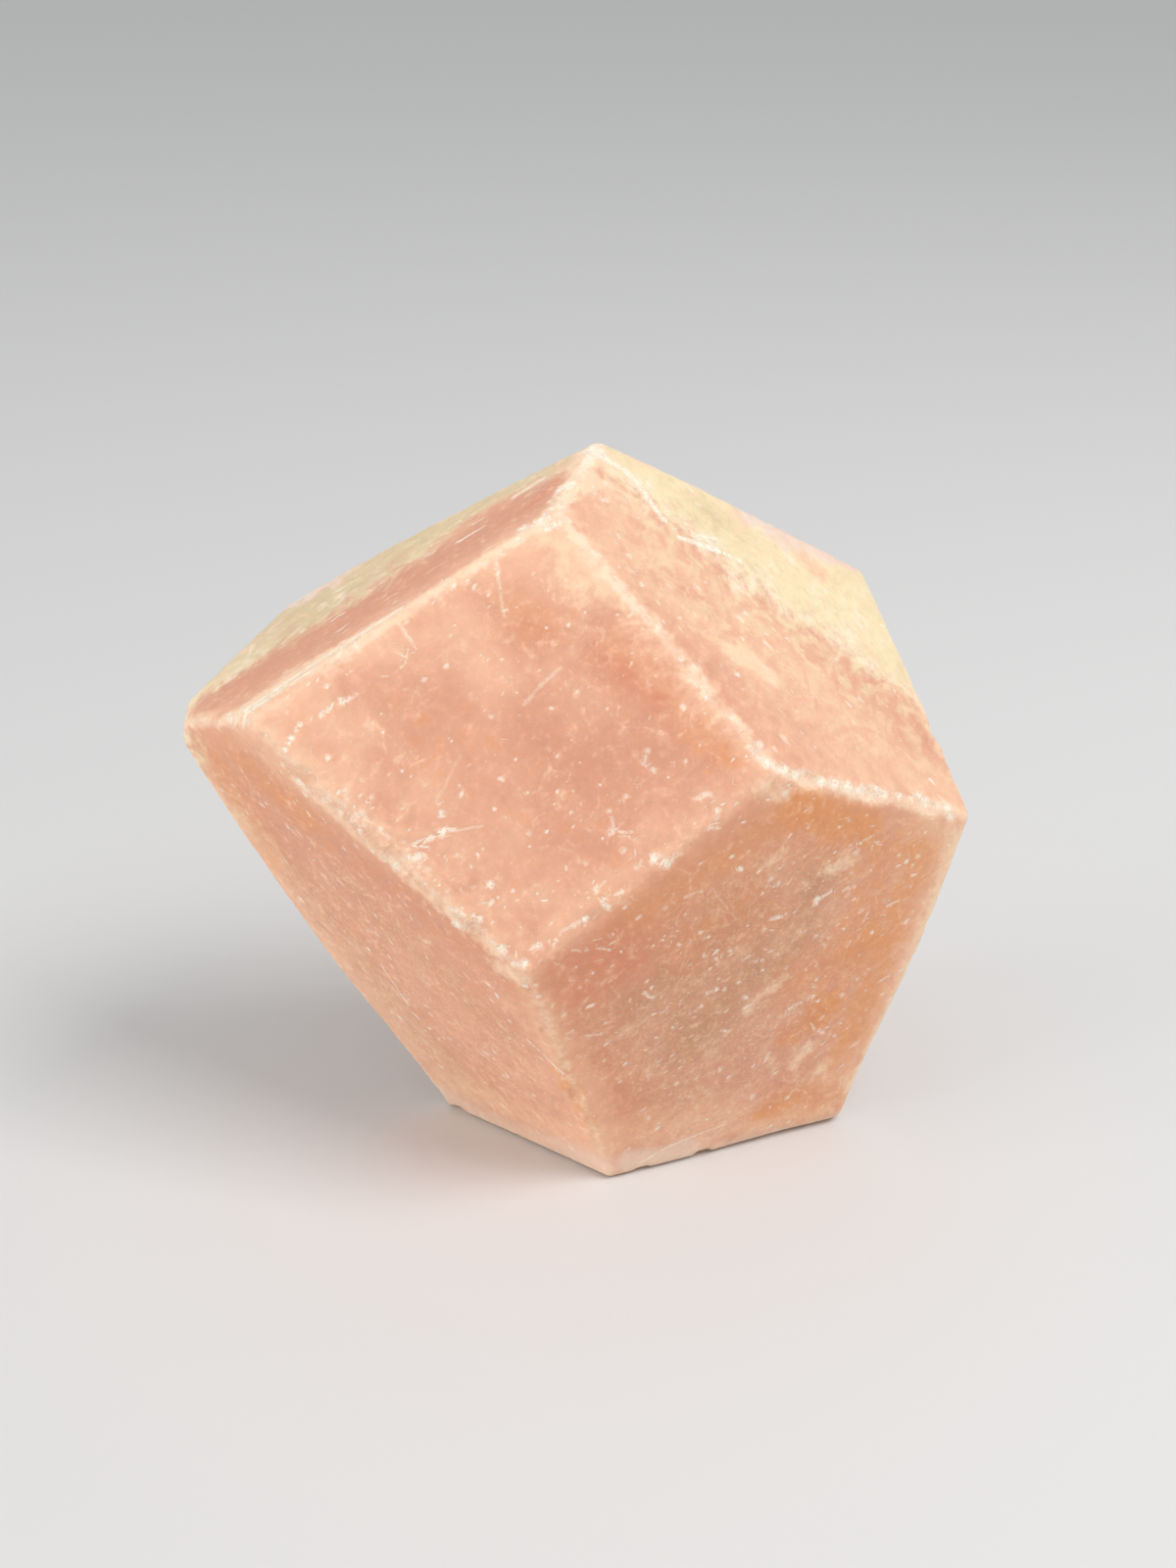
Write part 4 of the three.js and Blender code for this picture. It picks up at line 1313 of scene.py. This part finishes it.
def surroundings(wiring):
    """What the layers read at each point: places (mm), noises and what the mesh holds."""
    here = SimpleNamespace()
    coordinates = wiring.add("ShaderNodeTexCoord").outputs["Object"]
    here.place = wiring.vector("SCALE", coordinates, scale=1 / MM)
    swirl = wiring.colour_noise(here.place, SWIRL_SIZE)
    here.drift = wiring.moved(here.place, swirl, SWIRL_REACH)
    here.jitter = wiring.colour_noise(here.place, JITTER_SIZE)
    here.ground = ground_place(wiring)
    for name, (start, *kind) in NOISES.items():
        noise = wiring.noise(getattr(here, start), *kind, flat=start == "ground")
        setattr(here, name, noise)
    here.edge = attribute(wiring, "edge_distance")
    here.paleness = attribute(wiring, "paleness")
    # The rims' bleach is bleaching, and at two rims painted highlight.
    here.bleach = attribute(wiring, "bleach")
    here.crowding = attribute(wiring, "crowding")
    calm = wiring.largest(*(attribute(wiring, name) for name in CALM_MARKS))
    here.coarseness = wiring.product(
        attribute(wiring, "coarseness"),
        wiring.ramp(here.edge, *CALM_RIM, 0.15, 1.0),
        wiring.ramp(calm, 0.1, 0.9, 1.0, 0.3),
    )
    return here


def outlined(wiring, here, name):
    """A soft mark with its ragged outline."""
    noise, *outline = OUTLINES.get(name, USUAL_OUTLINE)
    return wiring.ragged(attribute(wiring, name), getattr(here, noise), *outline)


def layered(wiring, colours, masks, layers, tint):
    """A colour with layers laid over it."""
    for name, strength, colour in layers:
        tint = wiring.lay(tint, getattr(colours, colour), masks[name], strength)
    return tint


def struck_mask(wiring, here):
    """Dents and scratches: how near a point is to the one its surroundings belong to."""
    start = attribute(wiring, "struck_from", "Vector")
    place = wiring.moved(here.place, here.jitter, DENT_JITTER)
    line = wiring.vector("SUBTRACT", attribute(wiring, "struck_to", "Vector"), start)
    arm = wiring.vector("SUBTRACT", place, start)
    length = wiring.vector("DOT_PRODUCT", line, line)
    run = wiring.math("DIVIDE", wiring.vector("DOT_PRODUCT", arm, line), length, clamp=True)
    distance = wiring.vector("DISTANCE", arm, wiring.vector("SCALE", line, scale=run))
    distance = wiring.math("DIVIDE", distance, attribute(wiring, "struck_reach"))
    nearness = wiring.ragged(distance, here.fine, 1.3, 0.4, 2.0)
    broken = wiring.ramp(here.fine, 0.34, 0.50, 0.35, 1.0)
    return wiring.product(nearness, broken, attribute(wiring, "struck_strength"))


def body_colour(wiring, colours, here):
    """The pink of the stone: slow drifts, soft patches and marks."""
    tint = rgba(colours.body)
    for noise, start, whole, strength, colour in BODY_NOISES:
        amount = wiring.ramp(getattr(here, noise), start, whole, 0.0, strength)
        tint = wiring.lay(tint, getattr(colours, colour), amount)
    for name, strength in BODY_MARKS.items():
        tint = wiring.lay(tint, getattr(colours, name), outlined(wiring, here, name), strength)
    return tint


def bleached_mask(wiring, here):
    """The pink's bleaching along the facets' rims, and painted highlight at two lit rims."""
    width = wiring.math("MULTIPLY_ADD", here.patch, *BLEACH_WIDTH)
    width = wiring.largest(width, BLEACH_LEAST)
    near = wiring.ramp(wiring.math("DIVIDE", here.edge, width), 1.2, 0.1)
    return wiring.product(near, here.bleach, wiring.ramp(here.grain, 0.3, 0.6, 0.6, 1.0))


def seam_depth(wiring, here, across):
    """How far (mm) a point lies behind the seam's front, with its wavers."""
    depth = wiring.vector("DOT_PRODUCT", here.drift, SEAM_SLANT)
    depth = wiring.math("SUBTRACT", depth, SEAM_FRONT)
    for centre, reach, shift in SEAM_WAVERS:
        aside = wiring.math("ABSOLUTE", wiring.math("SUBTRACT", across, centre))
        depth = wiring.math("SUBTRACT", depth, wiring.ramp(aside, reach, 0.0, 0.0, shift))
    return depth


def cream_masks(wiring, here, mottle):
    """Where the seam's cream is olive, pale or pink, by name."""
    pink = wiring.ramp(here.broad, 0.5, 0.66)
    return {
        # Olive patches, on the left slope partly painted shade.
        "aged_and_shaded": outlined(wiring, here, "olive"),
        "spotted": wiring.ramp(here.patch, 0.5, 0.75),
        "clouded": wiring.product(wiring.ramp(here.patch, 0.5, 0.3), mottle),
        "pink": wiring.product(pink, wiring.ramp(here.cloud, 0.42, 0.6)),
        "flushed": outlined(wiring, here, "flush"),
    }


def seam_colour(wiring, colours, here, tint):
    """The cream seam that runs through the stone, with paler stone behind it."""
    axes = wiring.add("ShaderNodeSeparateXYZ", {0: here.place}).outputs
    depth = seam_depth(wiring, here, axes["X"])
    thickness = wiring.largest(*(
        wiring.math("MULTIPLY_ADD", axes["X"], growth, middle)
        for middle, growth in SEAM_THICKNESSES
    ))
    height = wiring.ramp(axes["Z"], *SEAM_HEIGHTS, SEAM_FAINT, 1.0)
    mottle = wiring.ramp(here.grain, 0.32, 0.68)
    masks = cream_masks(wiring, here, mottle)
    cream = layered(wiring, colours, masks, IN_SEAM, rgba(colours.cream))
    mottled = wiring.ramp(here.patch, 0.4, 0.65, 0.0, 0.35)
    behind = wiring.mix(mottled, rgba(colours.lavender), tint)
    beyond = wiring.ramp(wiring.math("SUBTRACT", depth, thickness), *PALE_STONE)
    behind = wiring.mix(beyond, behind, tint)
    loose = wiring.swayed(depth, here.cloud, SEAM_CLOUDS)
    loose = wiring.swayed(loose, here.band, SEAM_BANDS)
    entering = wiring.ragged(loose, here.grain, -1.6, 1.7, 1.5)
    past = wiring.math("SUBTRACT", loose, thickness)
    leaving = wiring.ragged(past, here.grain, -0.9, 0.9, 2.0)
    haze = wiring.product(
        wiring.ramp(depth, *HAZE_DEPTHS),
        wiring.ramp(axes["X"], *HAZE_SIDES),
        height,
        wiring.ramp(here.cloud, 0.38, 0.66),
        HAZE_STRENGTH,
    )
    lip = wiring.product(wiring.ramp(depth, *LIP_STARTS), wiring.ramp(depth, *LIP_ENDS), mottle)
    tint = wiring.mix(haze, tint, cream)
    tint = wiring.mix(wiring.product(entering, height, SEAM_STRENGTH), tint, cream)
    tint = wiring.mix(wiring.product(leaving, height), tint, behind)
    to_right = wiring.ramp(axes["X"], -6.0, 4.0, 0.1, 0.5)
    return wiring.lay(tint, colours.fresh, lip, height, to_right)


def wisps(wiring, here):
    """A faint web of broken milky threads."""
    web = wiring.noise(here.drift, WISP_SIZE, detail=1.0)
    away = wiring.math("ABSOLUTE", wiring.math("SUBTRACT", web, 0.5))
    thread = wiring.ramp(away, WISP_WIDTH, 0.0)
    broken = wiring.ramp(here.grain, 0.42, 0.66)
    return wiring.product(thread, broken, wiring.ramp(here.broad, 0.38, 0.56))


def flecks(wiring, here):
    """Soft pale flecks and fine grains, more of them near the facets' rims and on coarse ones."""
    near_rim = wiring.product(wiring.ramp(here.edge, *FLECK_RIM), here.crowding)
    crowd = wiring.largest(wiring.ramp(here.patch, 0.42, 0.66, 0.3, 0.9), near_rim)
    soft = wiring.product(wiring.ramp(here.grain, 0.5, 0.74), crowd, 0.8)
    many = wiring.largest(here.coarseness, crowd)
    sharp = wiring.product(wiring.ramp(here.fine, 0.54, 0.8), many, 0.5)
    return wiring.largest(soft, sharp)


def shade(wiring, here):
    """A fine unevenness of the stone's lightness: more of it on coarse facets."""
    uneven = wiring.product(wiring.math("SUBTRACT", here.cloud, 0.5), UNEVENNESS)
    uneven = wiring.swayed(uneven, here.grain, UNEVENNESS)
    grooves = wiring.product(wiring.math("SUBTRACT", here.streak, 0.5), here.coarseness)
    uneven = wiring.math("MULTIPLY_ADD", grooves, STREAK_UNEVENNESS, uneven)
    return wiring.math("ADD", uneven, 1.0)


def speck_mask(wiring, here):
    """Small chips, seen as pale specks: crowded near the edges and on coarse facets."""
    wanted = wiring.largest(
        wiring.product(here.coarseness, 0.7),
        wiring.product(wiring.ramp(here.edge, *SPECK_RIM), here.crowding, 1.4),
        wiring.ramp(here.patch, 0.46, 0.66, 0.25, 0.8),
    )
    place = wiring.moved(here.ground, here.jitter, SPECK_JITTER)
    found = []
    for size, radius, rarity in SPECK_SIZES:
        cell = wiring.cells(place, size)
        chance = wiring.add("ShaderNodeSeparateXYZ", {0: cell.outputs["Color"]}).outputs
        span = wiring.math("MULTIPLY_ADD", chance["Y"], radius, 0.4 * radius)
        dot = wiring.ramp(wiring.math("DIVIDE", cell.outputs["Distance"], span), 1.0, 0.2)
        luck = wiring.math("MULTIPLY_ADD", wanted, 0.34, chance["X"])
        kept = wiring.math("GREATER_THAN", luck, rarity)
        strength = wiring.math("MULTIPLY_ADD", chance["Z"], 0.75, 0.25)
        found.append(wiring.product(dot, kept, strength))
    return wiring.largest(*found)


def worn_and_highlit_edge_masks(wiring, here):
    """How pale the edges are, from wear and at two lit edges painted highlight: a soft bloom, and
    broken lumps along the crest.
    """
    spread = wiring.math("MULTIPLY_ADD", here.bleach, *BLOOM_WIDTH)
    away = wiring.math("DIVIDE", here.edge, spread)
    bloom = wiring.ragged(away, here.cloud, 1.3, 0.1, -2.4)
    crest = wiring.ragged(here.edge, here.grain, 0.8, 0.1, -3.2)
    broken = wiring.ramp(here.patch, 0.38, 0.6, 0.2, 1.0)
    bloom = wiring.product(bloom, here.paleness)
    return {"bloom": bloom, "crest": wiring.product(crest, here.paleness, broken)}


def all_masks(wiring, here):
    """Where each layer shows, by name."""
    ribbons = wiring.ramp(here.band, 0.4, 0.62, 0.15, 1.0)
    chipped = outlined(wiring, here, "chip")
    return {
        "bleached": bleached_mask(wiring, here),
        "amber": outlined(wiring, here, "amber"),
        "milk": outlined(wiring, here, "milk"),
        "wisps": wisps(wiring, here),
        "flecks": flecks(wiring, here),
        "dark_bands": wiring.product(wiring.ramp(here.band, 0.5, 0.3), here.coarseness),
        "light_bands": wiring.product(wiring.ramp(here.band, 0.52, 0.72), here.coarseness),
        "streaks": wiring.product(wiring.ramp(here.streak, 0.6, 0.8), ribbons, here.coarseness),
        **worn_and_highlit_edge_masks(wiring, here),
        "chipped": chipped,
        "pale_chips": wiring.product(chipped, here.paleness),
        "specks": speck_mask(wiring, here),
        "struck": struck_mask(wiring, here),
    }


def relief_height(wiring, here, masks):
    """The height of the stone's fine relief (mm)."""
    grain = wiring.math("MULTIPLY_ADD", here.coarseness, COARSE_RELIEF, GRAIN_RELIEF)
    height = wiring.product(here.grain, grain)
    grooves = wiring.product(here.streak, here.coarseness)
    height = wiring.math("MULTIPLY_ADD", grooves, STREAK_RELIEF, height)
    for name, depth in RELIEFS.items():
        height = wiring.math("MULTIPLY_ADD", masks[name], -depth, height)
    return height


def opal_surface(wiring, colours):
    """The stone's colour, how rough it is, and the height of its fine relief (mm)."""
    here = surroundings(wiring)
    masks = all_masks(wiring, here)
    tint = body_colour(wiring, colours, here)
    tint = layered(wiring, colours, masks, UNDER_SEAM, tint)
    tint = seam_colour(wiring, colours, here, tint)
    tint = layered(wiring, colours, masks, OVER_SEAM, tint)
    tint = wiring.vector("SCALE", tint, scale=shade(wiring, here))
    tint = layered(wiring, colours, masks, ON_TOP, tint)
    roughness = wiring.ramp(here.grain, 0.25, 0.75, *ROUGHNESSES)
    worn = wiring.largest(masks["crest"], masks["chipped"])
    roughness = wiring.math("MULTIPLY_ADD", worn, WORN_ROUGHNESS, roughness)
    roughness = wiring.math("MULTIPLY_ADD", here.coarseness, COARSE_ROUGHNESS, roughness)
    return tint, roughness, relief_height(wiring, here, masks)


def opal_material(colours):
    """Pink common opal, softly polished."""
    material = bpy.data.materials.new("Pink opal")
    material.use_nodes = True
    material.node_tree.nodes.clear()
    wiring = Wiring(material.node_tree)
    tint, roughness, height = opal_surface(wiring, colours)
    relief = wiring.add("ShaderNodeBump", {"Strength": 0.8, "Distance": MM, "Height": height})
    settings = {
        "Base Color": tint,
        "Roughness": roughness,
        "Normal": relief.outputs[0],
        "IOR": 1.45,
        "Subsurface Weight": 0.35,
        "Subsurface Radius": (1.0, 0.45, 0.3),
        "Subsurface Scale": 0.0025,
    }
    surface = wiring.add("ShaderNodeBsdfPrincipled", settings)
    wiring.add("ShaderNodeOutputMaterial", {"Surface": surface.outputs[0]})
    return material


# --- The stage ---

FLOOR_SIZE = 8.0
FLOOR_GAP = 0.0001
FLOOR_ROUGHNESS = 0.7
SKY_COLOUR = (0.96, 0.98, 1.0)
CAMERA_PLACE = (0.0010276, -0.1815956, 0.1183766)
CAMERA_PITCH = 25.0
CAMERA_LENS = 50.0
CAMERA_SENSOR = 36.0
KEY_PLACE = (0.29, -0.17, 0.53)
KEY_SIZE = 0.30
FILL_PLACE = (-0.72, -0.30, 0.10)
FILL_SIZE = 0.4
LIGHT_AIM = (0.0, 0.0, 0.03)


def make_floor(tint):
    """A plain pale floor just below the stone."""
    form = bmesh.new()
    bmesh.ops.create_grid(form, x_segments=1, y_segments=1, size=FLOOR_SIZE / 2)
    bmesh.ops.translate(form, verts=form.verts, vec=(0, 0, -FLOOR_GAP))
    mesh = bpy.data.meshes.new("stage_floor")
    form.to_mesh(mesh)
    form.free()
    material = bpy.data.materials.new("Floor")
    material.use_nodes = True
    surface = material.node_tree.nodes["Principled BSDF"]
    surface.inputs["Base Color"].default_value = rgba(tint)
    surface.inputs["Roughness"].default_value = FLOOR_ROUGHNESS
    mesh.materials.append(material)
    floor = linked_object("stage_floor", mesh)


def make_light(name, place, size, power):
    """A square soft light aimed at the stone."""
    light = bpy.data.lights.new(name, "AREA")
    light.shape = "SQUARE"
    light.size = size
    light.energy = power
    lamp = linked_object(name, light)
    lamp.location = place
    aim = Vector(LIGHT_AIM) - Vector(place)
    lamp.rotation_euler = aim.to_track_quat("-Z", "Y").to_euler()


def make_sky(strength):
    """Even, faintly cool light from all around."""
    world = bpy.data.worlds.new("Studio")
    world.use_nodes = True
    background = world.node_tree.nodes["Background"]
    background.inputs["Color"].default_value = rgba(SKY_COLOUR)
    background.inputs["Strength"].default_value = strength
    bpy.context.scene.world = world


def make_camera():
    """A camera in front of the stone and above it, looking down."""
    camera = bpy.data.cameras.new("Camera")
    camera.lens = CAMERA_LENS
    camera.sensor_width = CAMERA_SENSOR
    camera.clip_start = 0.01
    holder = linked_object("Camera", camera)
    holder.location = CAMERA_PLACE
    holder.rotation_euler = (math.radians(90 - CAMERA_PITCH), 0, 0)
    bpy.context.scene.camera = holder


# --- Operators and panel ---


class OPAL_OT_stone(Operator):
    """Grind, wear, chip and colour the opal"""

    bl_idname = "opal.stone"
    bl_label = "Make the stone"

    def execute(self, context):
        make_stone(context.scene.opal_shape, context.scene.opal_colours)
        return {"FINISHED"}


class OPAL_OT_stage(Operator):
    """Lay the floor, hang the lights and set up the camera"""

    bl_idname = "opal.stage"
    bl_label = "Make the stage"

    def execute(self, context):
        stage = context.scene.opal_stage
        make_floor(stage.floor)
        make_light("Key", KEY_PLACE, KEY_SIZE, stage.key)
        make_light("Fill", FILL_PLACE, FILL_SIZE, stage.fill)
        make_sky(stage.sky)
        make_camera()
        context.scene.view_settings.view_transform = "Standard"
        return {"FINISHED"}


class OPAL_PT_panel(Panel):
    """Everything that makes the opal and its stage"""

    bl_label = "Pink opal freeform"
    bl_idname = "OPAL_PT_panel"
    bl_space_type = "VIEW_3D"
    bl_region_type = "UI"
    bl_category = "Opal"

    def draw(self, context):
        layout = self.layout
        for group in (context.scene.opal_shape, context.scene.opal_colours):
            for name in group.__annotations__:
                layout.prop(group, name)
        layout.operator(OPAL_OT_stone.bl_idname)
        for name in context.scene.opal_stage.__annotations__:
            layout.prop(context.scene.opal_stage, name)
        layout.operator(OPAL_OT_stage.bl_idname)


CLASSES = (OpalShape, OpalColours, OpalStage, OPAL_OT_stone, OPAL_OT_stage, OPAL_PT_panel)


def register():
    for each in CLASSES:
        bpy.utils.register_class(each)
    bpy.types.Scene.opal_shape = PointerProperty(type=OpalShape)
    bpy.types.Scene.opal_colours = PointerProperty(type=OpalColours)
    bpy.types.Scene.opal_stage = PointerProperty(type=OpalStage)


def unregister():
    del bpy.types.Scene.opal_stage
    del bpy.types.Scene.opal_colours
    del bpy.types.Scene.opal_shape
    for each in reversed(CLASSES):
        bpy.utils.unregister_class(each)


def main():
    register()
    bpy.ops.opal.stone()
    bpy.ops.opal.stage()


if __name__ == "__main__":
    main()
